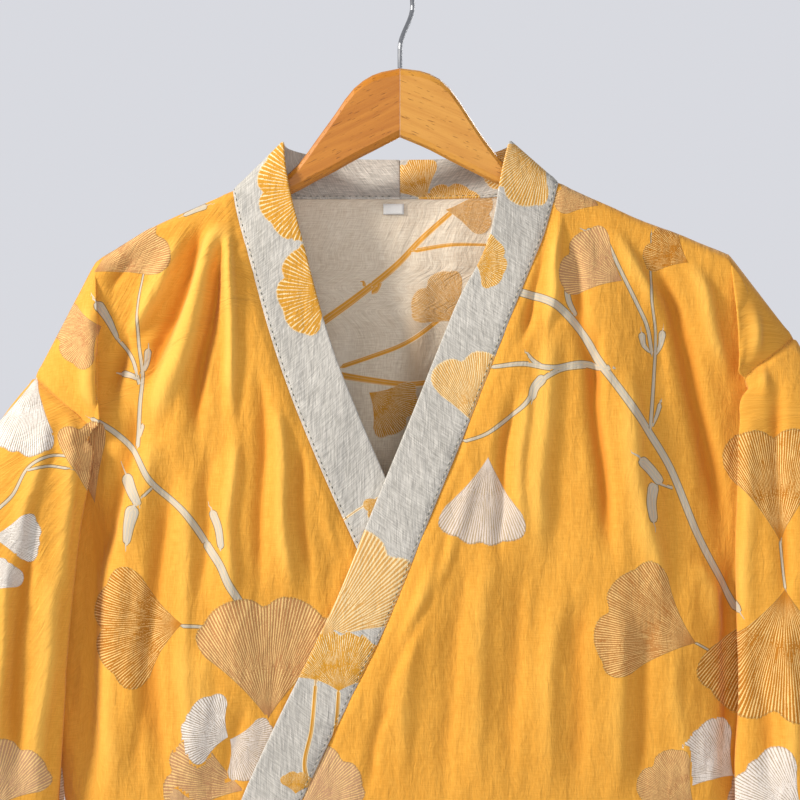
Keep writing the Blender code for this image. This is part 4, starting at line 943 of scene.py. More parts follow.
def leaf_layers(look, faces, leaves):
    """Where each corner of a face lies on its leaf, and that leaf's shape and colour."""
    corners = look[faces]
    middle = corners.mean(axis=1)
    place = np.full(corners.shape, NOWHERE)
    form = np.ones(corners.shape)
    tone = np.zeros(corners.shape)
    inside = np.zeros(len(corners), bool)
    for x, z, tip_x, tip_z, half_angle, white, light, veins in leaves:
        axis = np.array([tip_x - x, tip_z - z])
        length = np.linalg.norm(axis)
        axis = axis / length
        length = length * LEAF_LENGTH
        across = np.array([axis[1], -axis[0]])
        away = middle - (x, z)
        reach = np.linalg.norm(away, axis=1)
        turn = abs(np.arctan2(away @ across, away @ axis))
        half = math.radians(half_angle) * LEAF_SPREAD
        within = (reach < length - LEAF_MARGIN) & (turn < half * 0.9)
        near = (reach < length * 1.03 + LEAF_MARGIN) & (turn < 2.8) & ((turn - half) * reach < LEAF_MARGIN)
        hit = within | ((near | (reach < LEAF_MARGIN)) & ~inside)
        inside |= within
        local = (corners[hit] - (x, z)) / length
        place[hit] = np.stack([local @ across, local @ axis], axis=-1)
        form[hit] = (half, veins / 100)
        tone[hit] = (white, light)
    return {"leaf": place, "leaf_form": form, "leaf_tone": tone}


def stem_layers(look, faces, stems):
    """Each corner's distance across its stem, and that stem's half width and kind."""
    place = np.full((len(faces), 4, 2), 9.0)
    form = np.ones((len(faces), 4, 2))
    nearest = np.full(len(faces), STEM_MARGIN)
    for kind, start, end, points in stems:
        line = rounded(points)
        low, high = line.min(axis=0) - 20, line.max(axis=0) + 20
        near = np.flatnonzero(((look > low) & (look < high)).all(axis=1))
        if not len(near):
            continue
        spots = look[near]
        best = np.full(len(near), np.inf)
        signed = np.zeros(len(near))
        along = np.zeros(len(near))
        walked = 0.0
        total = np.linalg.norm(np.diff(line, axis=0), axis=1).sum()
        for a, b in zip(line[:-1], line[1:]):
            run = b - a
            length = np.linalg.norm(run)
            t = np.clip((spots - a) @ run / length**2, 0, 1)
            gap = spots - a - t[:, None] * run
            distance = np.linalg.norm(gap, axis=1)
            side = np.sign(run[0] * gap[:, 1] - run[1] * gap[:, 0])
            closer = distance < best
            best[closer] = distance[closer]
            signed[closer] = (distance * side)[closer]
            along[closer] = ((walked + t * length) / total)[closer]
            walked += length
        width = start + (end - start) * along
        across = np.full(len(look), 99.0)
        share = np.zeros(len(look))
        half = np.ones(len(look))
        across[near] = signed / width
        share[near] = along * total / 100
        half[near] = width
        level = abs(across[faces]).max(axis=1)
        hit = level < nearest
        nearest[hit] = level[hit]
        place[hit] = np.stack([across[faces[hit]], share[faces[hit]]], axis=-1)
        form[hit] = np.stack([half[faces[hit]], np.full((hit.sum(), 4), STEM_KINDS[kind])], axis=-1)
    return {"stem": place, "stem_form": form}


def grid_faces(rows, columns):
    index = np.arange(rows * columns).reshape(rows, columns)
    corners = (index[:-1, :-1], index[1:, :-1], index[1:, 1:], index[:-1, 1:])
    return np.stack([corner.ravel() for corner in corners], axis=1)


def cloth_piece(name, points, u, v, fold, look, leaves, stems, thickness, finishes, round_edges=0.0):
    """A thin shell about a grid, with the maps that its finish reads."""
    rows, columns = points.shape[:2]
    faces = grid_faces(rows, columns)
    mesh = bpy.data.meshes.new(name)
    mesh.from_pydata((points.reshape(-1, 3) * MM).tolist(), [], faces.tolist())
    flat = look.reshape(-1, 2)
    layers = {"cloth": np.stack([u.ravel(), v.ravel()], axis=1)[faces] * MM}
    # Fold heights, from which the finish paints shade in the valleys and highlight on the crests
    layers["fold"] = np.stack([fold.ravel(), 0 * fold.ravel()], axis=1)[faces] / FULL_FOLD
    layers.update(leaf_layers(flat, faces, leaves))
    layers.update(stem_layers(flat, faces, stems))
    for layer, values in layers.items():
        uv = mesh.uv_layers.new(name=layer)
        uv.data.foreach_set("uv", values.reshape(-1).astype(np.float32))
    mesh.shade_smooth()
    piece = bpy.data.objects.new(name, mesh)
    bpy.context.collection.objects.link(piece)
    for finish in finishes:
        mesh.materials.append(finish)
    wall = piece.modifiers.new("wall", "SOLIDIFY")
    wall.thickness = thickness * MM
    wall.offset = 0.0
    wall.use_even_offset = False
    wall.material_offset = len(finishes) - 1
    if round_edges:
        edge = piece.modifiers.new("fold", "BEVEL")
        edge.limit_method = "ANGLE"
        edge.angle_limit = math.radians(60)
        edge.width = round_edges * MM
        edge.segments = 2
    apply_modifiers(piece)
    return piece


def apply_modifiers(piece):
    bpy.ops.object.select_all(action="DESELECT")
    piece.select_set(True)
    bpy.context.view_layer.objects.active = piece
    for modifier in list(piece.modifiers):
        bpy.ops.object.modifier_apply(modifier=modifier.name)


# Shaders

class Wire:
    """A shader socket that Python's operators work with."""

    def __init__(self, finish, socket):
        self.finish = finish
        self.socket = socket

    def math(self, operation, *others):
        return self.finish.node("ShaderNodeMath", {"operation": operation}, (self, *others))

    def __add__(self, other):
        return self.math("ADD", other)

    __radd__ = __add__

    def __mul__(self, other):
        return self.math("MULTIPLY", other)

    __rmul__ = __mul__

    def __sub__(self, other):
        return self.math("SUBTRACT", other)

    def __rsub__(self, other):
        return self.finish.node("ShaderNodeMath", {"operation": "SUBTRACT"}, (other, self))

    def __truediv__(self, other):
        return self.math("DIVIDE", other)

    def __neg__(self):
        return self * -1


class Finish:
    """One material and the nodes that make it."""

    def __init__(self, name, roughness, metallic=0.0, **constants):
        self.material = bpy.data.materials.new(name)
        self.material.use_nodes = True
        self.tree = self.material.node_tree
        self.shader = self.tree.nodes["Principled BSDF"]
        self.set("Roughness", roughness)
        self.set("Metallic", metallic)
        for socket, value in constants.items():
            self.set(socket.replace("_", " "), value)

    def node(self, kind, settings, values, output=0):
        node = self.tree.nodes.new(kind)
        for setting, value in settings.items():
            setattr(node, setting, value)
        pairs = values.items() if isinstance(values, dict) else enumerate(values)
        for key, value in pairs:
            if isinstance(value, Wire):
                self.tree.links.new(value.socket, node.inputs[key])
            else:
                node.inputs[key].default_value = value
        return Wire(self, node.outputs[output])

    def set(self, socket, value):
        if isinstance(value, Wire):
            self.tree.links.new(value.socket, self.shader.inputs[socket])
        else:
            self.shader.inputs[socket].default_value = value

    def layer(self, name):
        return self.node("ShaderNodeUVMap", {"uv_map": name}, {})

    def place(self):
        return self.node("ShaderNodeTexCoord", {}, {}, "Object")

    def parts(self, vector):
        split = self.node("ShaderNodeSeparateXYZ", {}, (vector,)).socket.node
        return [Wire(self, output) for output in split.outputs]

    def moved(self, vector, scale, turn=(0, 0, 0)):
        return self.node("ShaderNodeMapping", {}, {"Vector": vector, "Scale": scale, "Rotation": turn})

    def noise(self, vector, scale, detail=2.0, roughness=0.5, distortion=0.0):
        values = {"Vector": vector, "Scale": scale, "Detail": detail, "Roughness": roughness}
        return self.node("ShaderNodeTexNoise", {}, {**values, "Distortion": distortion})

    def step(self, value, start, end):
        values = {"Value": value, "From Min": start, "From Max": end}
        return self.node("ShaderNodeMapRange", {"interpolation_type": "SMOOTHSTEP"}, values)

    def mix(self, first, second, share):
        values = {0: share, 6: first, 7: second}
        return self.node("ShaderNodeMix", {"data_type": "RGBA"}, values, 2)

    def bump(self, height, distance):
        values = {"Height": height, "Strength": 1.0, "Distance": distance}
        self.set("Normal", self.node("ShaderNodeBump", {}, values))


def leaf_masks(finish, ragged):
    """A ginkgo leaf: its fan, light veins and rim."""
    p, q, _ = finish.parts(finish.layer("leaf"))
    half, veins, _ = finish.parts(finish.layer("leaf_form"))
    white, light, _ = finish.parts(finish.layer("leaf_tone"))
    reach = (p * p + q * q).math("SQRT")
    turn = p.math("ARCTAN2", q)
    flare = half * (0.66 + reach.math("MINIMUM", 1.0) * 0.34)
    share = turn.math("ABSOLUTE") / flare
    square = share * share
    corner = square * square * square * square
    notch = (-(turn * 12.0) * (turn * 12.0)).math("EXPONENT")
    scallops = (turn * (5.2 + veins) + white * 2.0).math("SINE").math("ABSOLUTE") * 0.045
    edge = 0.925 - 0.05 * square - 0.26 * corner - 0.05 * notch + scallops + (ragged - 0.5) * 0.05
    within = finish.step(edge - reach, 0.0, 0.012)
    flank = finish.step((1.0 - share) * half * reach, 0.0, 0.012)
    mask = within * flank
    polar = finish.node("ShaderNodeCombineXYZ", {}, (turn, reach * 0.14, veins))
    patchy = finish.noise(polar, 40.0, 3.0, 0.65)
    wobble = (patchy - 0.5) * 4.0
    coarse = (turn * veins * 170.0 + wobble).math("SINE")
    fine = (turn * veins * 340.0 + 1.3 - wobble).math("SINE")
    outer = finish.step(reach + patchy * 0.3, 0.45, 0.7)
    lines = coarse * (1.0 - outer) + fine * outer
    broken = (ragged - 0.5) * 1.8 + (patchy - 0.5) * 2.4
    streaks = finish.step(lines + light * 1.25 + broken, 0.75, 1.15)
    streaks = streaks * finish.step(reach, 0.04, 0.2)
    rim = finish.step(reach - edge, -0.022, -0.01)
    rim = rim + finish.step((share - 1.0) * half * reach, -0.018, -0.008)
    return mask, streaks, rim.math("MINIMUM", 1.0) * mask, white


def stem_masks(finish):
    """A stem and the dark line that edges it."""
    across, _, _ = finish.parts(finish.layer("stem"))
    half, kind, _ = finish.parts(finish.layer("stem_form"))
    inward = (1.0 - across.math("ABSOLUTE")) * half
    mask = finish.step(inward, 0.0, 0.3)
    line = 1.0 - finish.step(inward, 0.45, 0.85)
    streak = finish.step((across * half * 3.0).math("SINE"), 0.55, 0.95)
    return mask, line, streak, kind


def gauze(name, ground, thread, fold_painted_shade, fold_painted_highlight, leaf, vein, pale_leaf, pale_vein, stem, stem_edge,
          bright_stem):
    """Crinkled double gauze with woven leaves and stems, with painted shade in its fold valleys and painted
    highlight on its fold crests.
    """
    finish = Finish(name, 0.92, Sheen_Weight=0.12, Sheen_Roughness=0.5, Specular_IOR_Level=0.2)
    cloth = finish.layer("cloth")
    ragged = finish.noise(cloth, 1150.0, 2.0)
    warp = finish.noise(finish.moved(cloth, (1500, 130, 1)), 1.0, 3.0, 0.6)
    weft = finish.noise(finish.moved(cloth, (110, 1400, 1)), 1.0, 3.0, 0.6)
    blotch = finish.noise(cloth, 26.0, 3.0)
    heather = warp * 0.5 + weft * 0.5
    fold, _, _ = finish.parts(finish.layer("fold"))
    colour = finish.mix(ground, thread, finish.step(heather * 0.85 + blotch * 0.15, 0.36, 0.66))
    # Painted shade in the fold valleys and painted highlight on the fold crests, read from the fold heights
    colour = finish.mix(colour, fold_painted_shade, finish.step(-fold + (blotch - 0.5) * 0.3, 0.05, 0.95) * 0.72)
    colour = finish.mix(colour, fold_painted_highlight, finish.step(fold + (blotch - 0.5) * 0.3, 0.05, 0.95) * 0.6)
    mask, streaks, rim, white = leaf_masks(finish, ragged)
    body = finish.mix(leaf, pale_leaf, white)
    veins = finish.mix(vein, pale_vein, white)
    body = finish.mix(body, veins, streaks)
    body = finish.mix(body, stem_edge, rim * 0.6)
    wood, line, streak, kind = stem_masks(finish)
    shoot = finish.mix(stem, bright_stem, kind)
    shoot = finish.mix(shoot, vein, streak * 0.35)
    shoot = finish.mix(shoot, stem_edge, line)
    colour = finish.mix(colour, shoot, wood)
    colour = finish.mix(colour, body, mask)
    finish.set("Base Color", colour)
    pucker = finish.noise(finish.moved(cloth, (190, 62, 1)), 1.0, 3.0, 0.55, 0.4)
    slub = finish.noise(finish.moved(cloth, (900, 60, 1)), 1.0, 2.0)
    relief = pucker * 0.6 + slub * 0.07 + heather * 0.05 + mask * (0.06 + streaks * 0.05)
    finish.bump(relief, 0.0017)
    return finish.material


# In each palette the colours for fold valleys and fold crests are painted shade and painted highlight
OUTSIDE = dict(
    ground=(0.72, 0.315, 0.034, 1), thread=(0.85, 0.415, 0.06, 1), fold_painted_shade=(0.58, 0.19, 0.012, 1),
    fold_painted_highlight=(0.93, 0.53, 0.10, 1), leaf=(0.47, 0.175, 0.014, 1), vein=(0.92, 0.60, 0.22, 1),
    pale_leaf=(0.84, 0.78, 0.71, 1), pale_vein=(0.40, 0.32, 0.24, 1), stem=(0.53, 0.47, 0.37, 1),
    stem_edge=(0.24, 0.15, 0.045, 1), bright_stem=(0.62, 0.54, 0.42, 1),
)
REVERSE = dict(
    ground=(0.66, 0.53, 0.39, 1), thread=(0.90, 0.79, 0.63, 1), fold_painted_shade=(0.52, 0.36, 0.22, 1),
    fold_painted_highlight=(0.92, 0.82, 0.68, 1), leaf=(0.62, 0.28, 0.03, 1), vein=(0.86, 0.66, 0.42, 1),
    pale_leaf=(0.72, 0.62, 0.50, 1), pale_vein=(0.60, 0.30, 0.08, 1), stem=(0.72, 0.33, 0.045, 1),
    stem_edge=(0.84, 0.66, 0.45, 1), bright_stem=(0.72, 0.33, 0.045, 1),
)
BANDING = dict(
    ground=(0.36, 0.34, 0.30, 1), thread=(0.72, 0.68, 0.61, 1), fold_painted_shade=(0.30, 0.285, 0.245, 1),
    fold_painted_highlight=(0.66, 0.64, 0.57, 1), leaf=(0.64, 0.30, 0.03, 1), vein=(0.93, 0.74, 0.42, 1),
    pale_leaf=(0.86, 0.76, 0.60, 1), pale_vein=(0.62, 0.34, 0.06, 1), stem=(0.66, 0.56, 0.44, 1),
    stem_edge=(0.92, 0.78, 0.50, 1), bright_stem=(0.66, 0.30, 0.03, 1),
)


# The robe

SEAM_COLUMNS = (0, -1)
BAND_SEAM_COLUMNS = {"collar_right": (0,), "collar_left": (-1,)}


def motifs_of(name):
    if name == "collar_left":
        return placed_leaves(LEFT_BAND_LEAVES), placed_stems(LEFT_BAND_STEMS)
    if name == "collar_right":
        return placed_leaves(RIGHT_BAND_LEAVES), placed_stems(RIGHT_BAND_STEMS)
    if name == "back":
        leaves, stems = list(placed_leaves(BACK_LEAVES)), placed_stems(BACK_STEMS)
        left, right, foot = BACK_CLEAR
        for shift in BACK_REPEATS:
            for leaf in placed_leaves(FRONT_LEAVES, shift, -1):
                if not (left < leaf[2] < right and leaf[3] > foot):
                    leaves.insert(0, leaf)
            for stem in placed_stems(FRONT_STEMS, shift, -1):
                if not (left < stem[3][:, 0].mean() < right and stem[3][:, 1].max() > foot):
                    stems.append(stem)
        return leaves, stems
    leaves, stems = placed_leaves(FRONT_LEAVES), placed_stems(FRONT_STEMS)
    for shift in FRONT_REPEATS:
        leaves = placed_leaves(FRONT_LEAVES, shift) + leaves
        stems = stems + placed_stems(FRONT_STEMS, shift)
    return leaves, stems


def face_allowance(piece):
    """The allowance turned under at the armhole is faced with the outer side of the cloth."""
    polygons = piece.data.polygons
    centres = np.empty(len(polygons) * 3)
    slots = np.empty(len(polygons), np.int32)
    polygons.foreach_get("center", centres)
    polygons.foreach_get("material_index", slots)
    x, _, z = (centres.reshape(-1, 3) / MM).T
    slots[(abs(x) > ALLOWANCE_OUT) & (z > ALLOWANCE_FOOT)] = 0
    polygons.foreach_set("material_index", slots)


def build_robe(outside, reverse, banding):
    grids = garment_grids()
    normals = shared_normals(grids)
    made = {}
    for name, grid in grids.items():
        coarse = COARSE_Z if not name.startswith("collar") else None
        step = BACK_STEP if name == "back" else FINE_STEP
        points, directions = dense(grid, normals[name], step, coarse)
        band = name.startswith("collar")
        points, u, v, fold = creased(name, points, directions, BAND_SEAM_COLUMNS.get(name, SEAM_COLUMNS))
        look = points[..., (0, 2)].copy()
        if name.startswith("sleeve"):
            look[..., 0] = np.where(directions[..., 1] > 0.02, -look[..., 0], look[..., 0])
        if name == "collar_right":
            look[..., 0] = np.where(points[..., 1] > 0, look[..., 0] - 999, look[..., 0])
        leaves, stems = motifs_of(name)
        shell = (BAND_CLOTH, [banding], EDGE_ROUND) if band else (PANEL_CLOTH, [outside, reverse], 0.0)
        piece = cloth_piece("robe_" + name, points, u, v, fold, look, leaves, stems, *shell)
        if name.startswith("front"):
            face_allowance(piece)
        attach(piece, "root")
        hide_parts(name)
        made[name] = (points, directions)
    return made


# Belt, label and stitching

def panel(name, grid, thickness, finishes, replaced, motifs,
          round_edges=EDGE_ROUND, calm=1.0):
    """A small sheet of cloth from a coarse grid, crinkled like the rest."""
    normals = shared_normals({name: grid})[name]
    points, directions = dense(grid, normals, FINE_STEP)
    u, v = cloth_places(points)
    points = points + directions * (crinkles(u, v) * calm)[..., None]
    leaves, stems = motifs
    look = points[..., (0, 2)]
    piece = cloth_piece(name, points, u, v, 0 * u, look, leaves, stems, thickness, finishes, round_edges)
    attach(piece, "root")
    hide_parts(replaced)


SIDE_SHARES = (0.2, 0.45, 0.65, 0.8, 0.91, 0.98)
FRONT_STEPS = 12
WAIST_DROP = 460
KNOT_SIZE = (46.0, 15.0, 50.0)
KNOT_X = -6.0
TOUCH_GAP = 0.35
# Name, x at the knot, x at the foot and length
BELT_ENDS = (("belt_end_right", -29.5, -74.0, 330.0), ("belt_end_left", 18.5, 46.0, 300.0))
END_STEPS = 21
END_OFFSETS = (-0.5, -0.3, -0.1, 0.1, 0.3, 0.5)
END_CLEAR = 2.5
# Shares of an end's length: where it lies on the front, is spread to its full width, has its
# deepest fold and has lost that fold
END_SETTLE = 0.2
END_SPREAD = 0.25
END_FOLD_FULL = 0.1
END_FOLD_GONE = 0.5
END_FOLD = 3.0
END_GATHER = 0.72  # the share of its width that an end has at the knot
BELT_ROWS = 3
BELT_MOTIFS = (-12, -190)  # shift in x and z of the motifs on the belt
BELT_SHELL = 2.0
KNOT_RINGS = 14
KNOT_SPOKES = 30
KNOT_SHELL = 1.6
KNOT_PINCH = 0.62
KNOT_SWELL = (0.8, 0.2)  # height of the pinched sides, and what the middle adds
KNOT_FLATNESS = (0.75, 0.8)  # powers that square its section, in depth and in height
KNOT_INSET = (1.0, 1.2, 1.4)  # from the block's faces to the shell's middle
KNOT_CREASE = 0.8


def flank(side, depth, shares):
    """Points on one side of the body at the belt: share 0 is its flat part's end, 1 the side seam."""
    side_out = SIDES[side].at("z", "out", BELT_Z)
    return [(side * mix(BODY_OUT[side], side_out, share), depth * side_profile(share)) for share in shares]


def waist_outline():
    """The body's outline at the belt, from the wearer's left side round the back to the start."""
    points = []
    for face, depth_of in ((1, back_depth), (-1, front_forward)):
        points.append((face * SIDES[face].at("z", "out", BELT_Z), 0.0))
        start, end = face * BODY_OUT[face], -face * BODY_OUT[-face]
        points += flank(face, face * depth_of(start, BELT_Z), SIDE_SHARES[::-1] + (0.0,))
        for i in range(1, FRONT_STEPS):
            x = mix(start, end, i / FRONT_STEPS)
            points.append((x, face * depth_of(x, BELT_Z)))
        points += flank(-face, face * depth_of(end, BELT_Z), (0.0,) + SIDE_SHARES)
    return np.array(points)


def build_belt(outside):
    motifs = (placed_leaves(FRONT_LEAVES, BELT_MOTIFS), placed_stems(FRONT_STEMS, BELT_MOTIFS))
    outline = waist_outline()
    along = np.roll(outline, -1, axis=0) - np.roll(outline, 1, axis=0)
    along /= np.linalg.norm(along, axis=1, keepdims=True)
    ring = outline + BELT_CLEAR * np.stack([along[:, 1], -along[:, 0]], axis=1)
    ring = np.concatenate([ring, ring[:1]])[::-1]
    rows = []
    for row in range(BELT_ROWS):
        z = BELT_Z + BELT_WIDTH * (0.5 - row / (BELT_ROWS - 1))
        rows.append([np.array([x, y, z]) for x, y in ring])
    panel("robe_belt", np.array(rows), BELT_SHELL, [outside], "belt", motifs)

    depth = DEPTHS.at("drop", "front", WAIST_DROP) + BELT_CLEAR + BELT_CLOTH / 2
    knot_middle = depth + TOUCH_GAP + KNOT_SIZE[1] / 2
    build_knot(outside, knot_middle, motifs)
    top_z = BELT_Z - KNOT_SIZE[2] / 2 - TOUCH_GAP
    for name, top_x, foot_x, length in BELT_ENDS:
        rows = []
        for i in range(END_STEPS):
            share = i / (END_STEPS - 1)
            tilt = (foot_x - top_x) / length * ramp(share, 0.0, END_SETTLE)
            across = np.array([1.0, 0.0, tilt])
            x = mix(top_x, foot_x, share)
            row = []
            for offset in END_OFFSETS:
                gathered = mix(END_GATHER, 1.0, ramp(share, 0.0, END_SPREAD))
                place = np.array([x, 0.0, top_z - length * share]) + across * BELT_WIDTH * offset * gathered
                lying = front_forward(place[0], place[2]) + BELT_CLEAR + END_CLEAR
                fold = END_FOLD * math.cos(math.pi * 2 * offset) * (1 - ramp(share, 0.0, END_FOLD_GONE))
                place[1] = -mix(knot_middle, lying, ramp(share, 0.0, END_SETTLE))
                place[1] -= fold * ramp(share, 0.0, END_FOLD_FULL)
                row.append(place)
            rows.append(row)
        panel("robe_" + name, np.array(rows), BELT_SHELL, [outside], name, motifs)


def build_knot(outside, middle, motifs):
    """The belt's cloth wrapped once round itself: a soft loop, pinched at both sides."""
    width, depth, height = KNOT_SIZE
    inset_x, inset_y, inset_z = KNOT_INSET
    pinched, more = KNOT_SWELL
    rows = []
    for i in range(KNOT_RINGS + 1):
        share = i / KNOT_RINGS * 2 - 1
        swell = math.sqrt(1 - KNOT_PINCH * share**2)
        ring = []
        for j in range(KNOT_SPOKES + 1):
            angle = 2 * math.pi * j / KNOT_SPOKES
            c, s = math.cos(angle), math.sin(angle)
            flat_y = math.copysign(abs(c) ** KNOT_FLATNESS[0], c) * (depth / 2 - inset_y) * swell
            tall_z = math.copysign(abs(s) ** KNOT_FLATNESS[1], s) * (height / 2 - inset_z)
            tall_z = tall_z * (pinched + more * swell)
            crease = KNOT_CREASE * math.sin(5 * share + 2.2 * s) * max(c, 0.0)
            x = KNOT_X + (width / 2 - inset_x) * share
            ring.append(np.array([x, -middle - flat_y - crease, BELT_Z + tall_z]))
        rows.append(ring)
    grid = np.array(rows)
    panel("robe_belt_knot", grid, KNOT_SHELL, [outside], "belt_knot", motifs, 0.5, 0.7)


LABEL_WIDTH = 14.5
LABEL_HEIGHT = 7.5
LABEL_CLOTH = 0.32
LABEL_X = -4.5
LABEL_TOP_Z = -158.6
LABEL_FROM_BACK = 1.5
LABEL_FOLD = 0.42  # middle to middle of its two layers


def build_label(finish):
    """A tape folded in half, with both ends caught in the neck seam."""
    down = [(share, LABEL_FOLD) for share in (0.0, 0.3, 0.6, 0.9)]
    back_up = [(share, 0.0) for share in (0.9, 0.6, 0.3, 0.0)]
    rows = []
    for share, out in down + [(1.0, LABEL_FOLD / 2)] + back_up:
        z = LABEL_TOP_Z - LABEL_HEIGHT * share
        points = []
        for across in (0.5, 0.25, 0.0, -0.25, -0.5):
            x = LABEL_X + LABEL_WIDTH * across
            points.append(np.array([x, back_depth(x, z) - LABEL_FROM_BACK - out - 0.2 * share, z]))
        rows.append(points)
    bare = ((), ())
    panel("size_tab", np.array(rows), LABEL_CLOTH, [finish], "neck_label", bare, 0.0, 0.1)


STITCH_PITCH = 4.6
STITCH_LENGTH = 2.5
STITCH_WIDTH = 0.7
STITCH_SINK = 0.25
STITCH_STRAIGHT = 0.6  # share of a stitch between its two ends
STITCH_END = 0.4  # width of its ends
STITCH_RAISE = 0.02
SEAM_TO_STITCH = 2.0
PALE_STITCH = (0.5, 0.85, 0.8)  # the paler thread's share of a stitch's length, width and height


def make_stitch(finish):
    """One stitch along +X, its two ends drawn down into the cloth."""
    bpy.ops.object.select_all(action="DESELECT")
    straight = STITCH_LENGTH * STITCH_STRAIGHT * MM
    bpy.ops.mesh.primitive_cylinder_add(vertices=6, radius=STITCH_WIDTH / 2 * MM, depth=straight)
    stitch = bpy.context.active_object
    stitch.data.transform(Matrix.Rotation(math.pi / 2, 4, "Y"))
    for end in (1, -1):
        for face in stitch.data.polygons:
            face.select = face.normal.x * end > 0.9
        bpy.ops.object.mode_set(mode="EDIT")
        bpy.ops.mesh.select_mode(type="FACE")
        step = (end * STITCH_LENGTH * (1 - STITCH_STRAIGHT) / 2 * MM, 0, -STITCH_SINK * MM)
        bpy.ops.mesh.extrude_region_move(TRANSFORM_OT_translate={"value": step})
        bpy.ops.transform.resize(value=(1, STITCH_END, STITCH_END))
        bpy.ops.mesh.select_all(action="DESELECT")
        bpy.ops.object.mode_set(mode="OBJECT")
    stitch.data.materials.append(finish)
    stitch.data.shade_smooth()
    return stitch


def along_line(line, run, place):
    return np.array([np.interp(place, run, line[:, k]) for k in range(3)])


def sew(name, runs, finishes):
    """Rows of stitches in one piece; every second one shows the paler thread."""
    stitches = [make_stitch(finish) for finish in finishes]
    copies = []
    for line, up in runs:
        run = run_across(line[None])[0]
        starts = np.arange(STITCH_PITCH, run[-1] - STITCH_PITCH, STITCH_PITCH / 2)
        for number, start in enumerate(starts):
            middle = along_line(line, run, start)
            ahead = Vector(along_line(line, run, start + 0.5) - middle).normalized()
            beside = Vector(along_line(up, run, start)).cross(ahead).normalized()
            rise = ahead.cross(beside)
            turn = Matrix((ahead, beside, rise)).transposed().to_4x4()
            size = PALE_STITCH if number % 2 else (1, 1, 1)
            stitch = stitches[number % 2]
            copy = bpy.data.objects.new(name, stitch.data.copy())
            place = Matrix.Translation(Vector(middle * MM))
            copy.data.transform(place @ turn @ Matrix.Diagonal(size + (1,)))
            bpy.context.collection.objects.link(copy)
            copies.append(copy)
    for stitch in stitches:
        bpy.data.objects.remove(stitch)
    bpy.ops.object.select_all(action="DESELECT")
    for copy in copies:
        copy.select_set(True)
    bpy.context.view_layer.objects.active = copies[0]
    bpy.ops.object.join()
    piece = bpy.context.active_object
    piece.name = name
    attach(piece, "root")
    return piece


def build_stitching(robe, finishes):
    runs = []
    for name, column, inner in (("collar_left", -1, -2), ("collar_right", 0, 1)):
        points, normals = robe[name]
        seam = points[:, column]
        inward = points[:, inner] - seam
        inward /= np.maximum(np.linalg.norm(inward, axis=1, keepdims=True), 1e-6)
        line = seam + inward * SEAM_TO_STITCH
        for face in (1, -1):
            up = normals[:, column] * face
            lifted = line + up * (BAND_CLOTH / 2 + STITCH_RAISE)
            rows = slice(1, None) if face > 0 else slice(1, len(line) // 4)
            runs.append((lifted[rows], up[rows]))
    sew("band_stitches", runs, finishes)


# The hanger and its finishes

def wood_finish(name, slope, tint):
    """Lacquered pale wood whose grain runs down the arm."""
    finish = Finish(name, 0.42, Coat_Weight=0.12, Coat_Roughness=0.3, Specular_IOR_Level=0.3)
    place = finish.moved(finish.place(), (1, 1, 1), (0, slope, 0))
    broad = finish.noise(finish.moved(place, (5, 40, 46)), 1.0, 2.0, 0.5, 0.6)
    x, y, z = finish.parts(place)
    rings = ((z * 620.0 + y * 200.0 + broad * 26.0).math("SINE") + 1.0) * 0.5
    fine = finish.noise(finish.moved(place, (26, 700, 900)), 1.0, 3.0, 0.6)
    pores = finish.step(finish.noise(finish.moved(place, (110, 1500, 1300)), 1.0, 1.0), 0.665, 0.71)
    light, dark, pore = tint
    colour = finish.mix(light, dark, finish.step(rings * 0.2 + fine * 0.55 + broad * 0.4, 0.35, 0.85))
    finish.set("Base Color", finish.mix(colour, pore, pores * 0.8))
    finish.set("Roughness", 0.34 + fine * 0.12)
    finish.bump(fine * 0.5 - pores, 0.00012)
    return finish.material


RIGHT_WOOD_TINT = ((0.58, 0.215, 0.02, 1), (0.46, 0.15, 0.01, 1), (0.22, 0.07, 0.01, 1))
LEFT_WOOD_TINT = ((0.70, 0.325, 0.052, 1), (0.60, 0.25, 0.032, 1), (0.28, 0.10, 0.015, 1))


def dress_hanger():
    right = wood_finish("hanger_wood_right", math.radians(27), RIGHT_WOOD_TINT)
    left = wood_finish("hanger_wood_left", math.radians(-22), LEFT_WOOD_TINT)
    steel = Finish("hook_steel", 0.24, 1.0)
    drawn = steel.noise(steel.moved(steel.place(), (900, 900, 60)), 1.0, 2.0)
    steel.set("Base Color", steel.mix((0.42, 0.43, 0.45, 1), (0.60, 0.61, 0.63, 1), drawn))
    steel.set("Roughness", 0.18 + drawn * 0.16)
    looks = {"hanger_arm_right": right, "hanger_arm_left": left, "hanger_hook": steel.material}
    for node, material in looks.items():
        for slot in frame["nodes"][node].material_slots:
            slot.material = material


def tab_finish():
    """White woven satin tape."""
    finish = Finish("tab_satin", 0.6, Sheen_Weight=0.2)
    cloth = finish.layer("cloth")
    weave = finish.noise(finish.moved(cloth, (2400, 600, 1)), 1.0, 2.0)
    finish.set("Base Color", finish.mix((0.70, 0.68, 0.64, 1), (0.90, 0.89, 0.86, 1), weave))
    finish.bump(weave, 0.0002)
    return finish.material


def thread_finish(name, dark, light):
    finish = Finish(name, 0.8, Sheen_Weight=0.1)
    twist = finish.noise(finish.place(), 2600.0, 1.0)
    finish.set("Base Color", finish.mix(dark, light, twist))
    return finish.material


# Camera, light and floor

VIEW_SPAN = 0.552
VIEW_DISTANCE = 2.05
VIEW_Z = -0.2966
VIEW_Y = -0.02
SENSOR = 36.0
FLOOR_Z = -1.42
FLOOR_SIZE = 9
FLOOR_COLOUR = (0.66, 0.66, 0.68, 1)
BACKDROP = (0.69, 0.70, 0.745, 1)
ROOM_LIGHT = 0.5
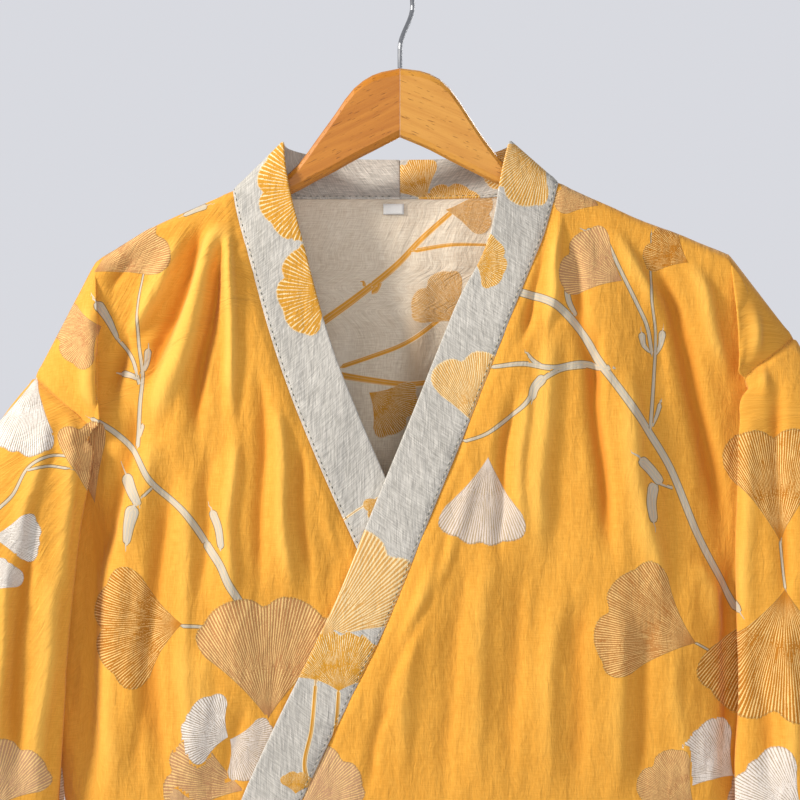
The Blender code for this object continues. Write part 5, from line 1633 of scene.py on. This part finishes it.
# Name, place, target, size, watts and colour of each light
LIGHTS = (
    ("key", (-2.3, -1.05, 0.95), (0, 0, -0.45), 0.5, 96, (1.0, 0.965, 0.91)),
    ("behind", (0.9, 2.4, 0.2), (0, 0, -0.55), 1.6, 42, (1.0, 0.98, 0.95)),
    ("fill", (0.3, -2.3, -0.1), (0, 0, -0.4), 1.6, 15, (0.97, 0.98, 1.0)),
)


def set_view():
    camera = bpy.data.cameras.new("view")
    camera.sensor_width = SENSOR
    camera.lens = SENSOR * VIEW_DISTANCE / VIEW_SPAN
    eye = bpy.data.objects.new("view", camera)
    eye.location = (0, VIEW_Y - VIEW_DISTANCE, VIEW_Z)
    eye.rotation_euler = (math.radians(90), 0, 0)
    bpy.context.collection.objects.link(eye)
    bpy.context.scene.camera = eye


def soft_light(name, place, target, size, power, colour):
    light = bpy.data.lights.new(name, "AREA")
    light.size = size
    light.energy = power
    light.color = colour
    lamp = bpy.data.objects.new(name, light)
    lamp.location = place
    lamp.rotation_euler = (Vector(target) - Vector(place)).to_track_quat("-Z", "Y").to_euler()
    bpy.context.collection.objects.link(lamp)


def set_light():
    scene = bpy.context.scene
    scene.view_settings.view_transform = "Standard"
    world = bpy.data.worlds.new("room")
    world.use_nodes = True
    nodes = world.node_tree.nodes
    link = world.node_tree.links.new
    backdrop = nodes["Background"]
    backdrop.inputs["Color"].default_value = BACKDROP
    room = nodes.new("ShaderNodeBackground")
    room.inputs["Color"].default_value = BACKDROP
    room.inputs["Strength"].default_value = ROOM_LIGHT
    seen = nodes.new("ShaderNodeLightPath")
    choice = nodes.new("ShaderNodeMixShader")
    link(seen.outputs["Is Camera Ray"], choice.inputs[0])
    link(room.outputs[0], choice.inputs[1])
    link(backdrop.outputs[0], choice.inputs[2])
    link(choice.outputs[0], nodes["World Output"].inputs["Surface"])
    scene.world = world
    for light in LIGHTS:
        soft_light(*light)
    bpy.ops.mesh.primitive_plane_add(size=FLOOR_SIZE, location=(0, 0, FLOOR_Z))
    floor = bpy.context.active_object
    floor.name = "floor"
    pale = Finish("pale_floor", 0.8)
    pale.set("Base Color", FLOOR_COLOUR)
    floor.data.materials.append(pale.material)


set_view()
set_light()
outside = gauze("mustard_gauze", **OUTSIDE)
reverse = gauze("gauze_reverse", **REVERSE)
banding = gauze("band_gauze", **BANDING)
robe = build_robe(outside, reverse, banding)
dark_thread = thread_finish("olive_thread", (0.07, 0.075, 0.05, 1), (0.16, 0.16, 0.11, 1))
pale_thread = thread_finish("cream_thread", (0.55, 0.50, 0.36, 1), (0.78, 0.72, 0.56, 1))
build_stitching(robe, [dark_thread, pale_thread])
build_belt(outside)
build_label(tab_finish())
dress_hanger()
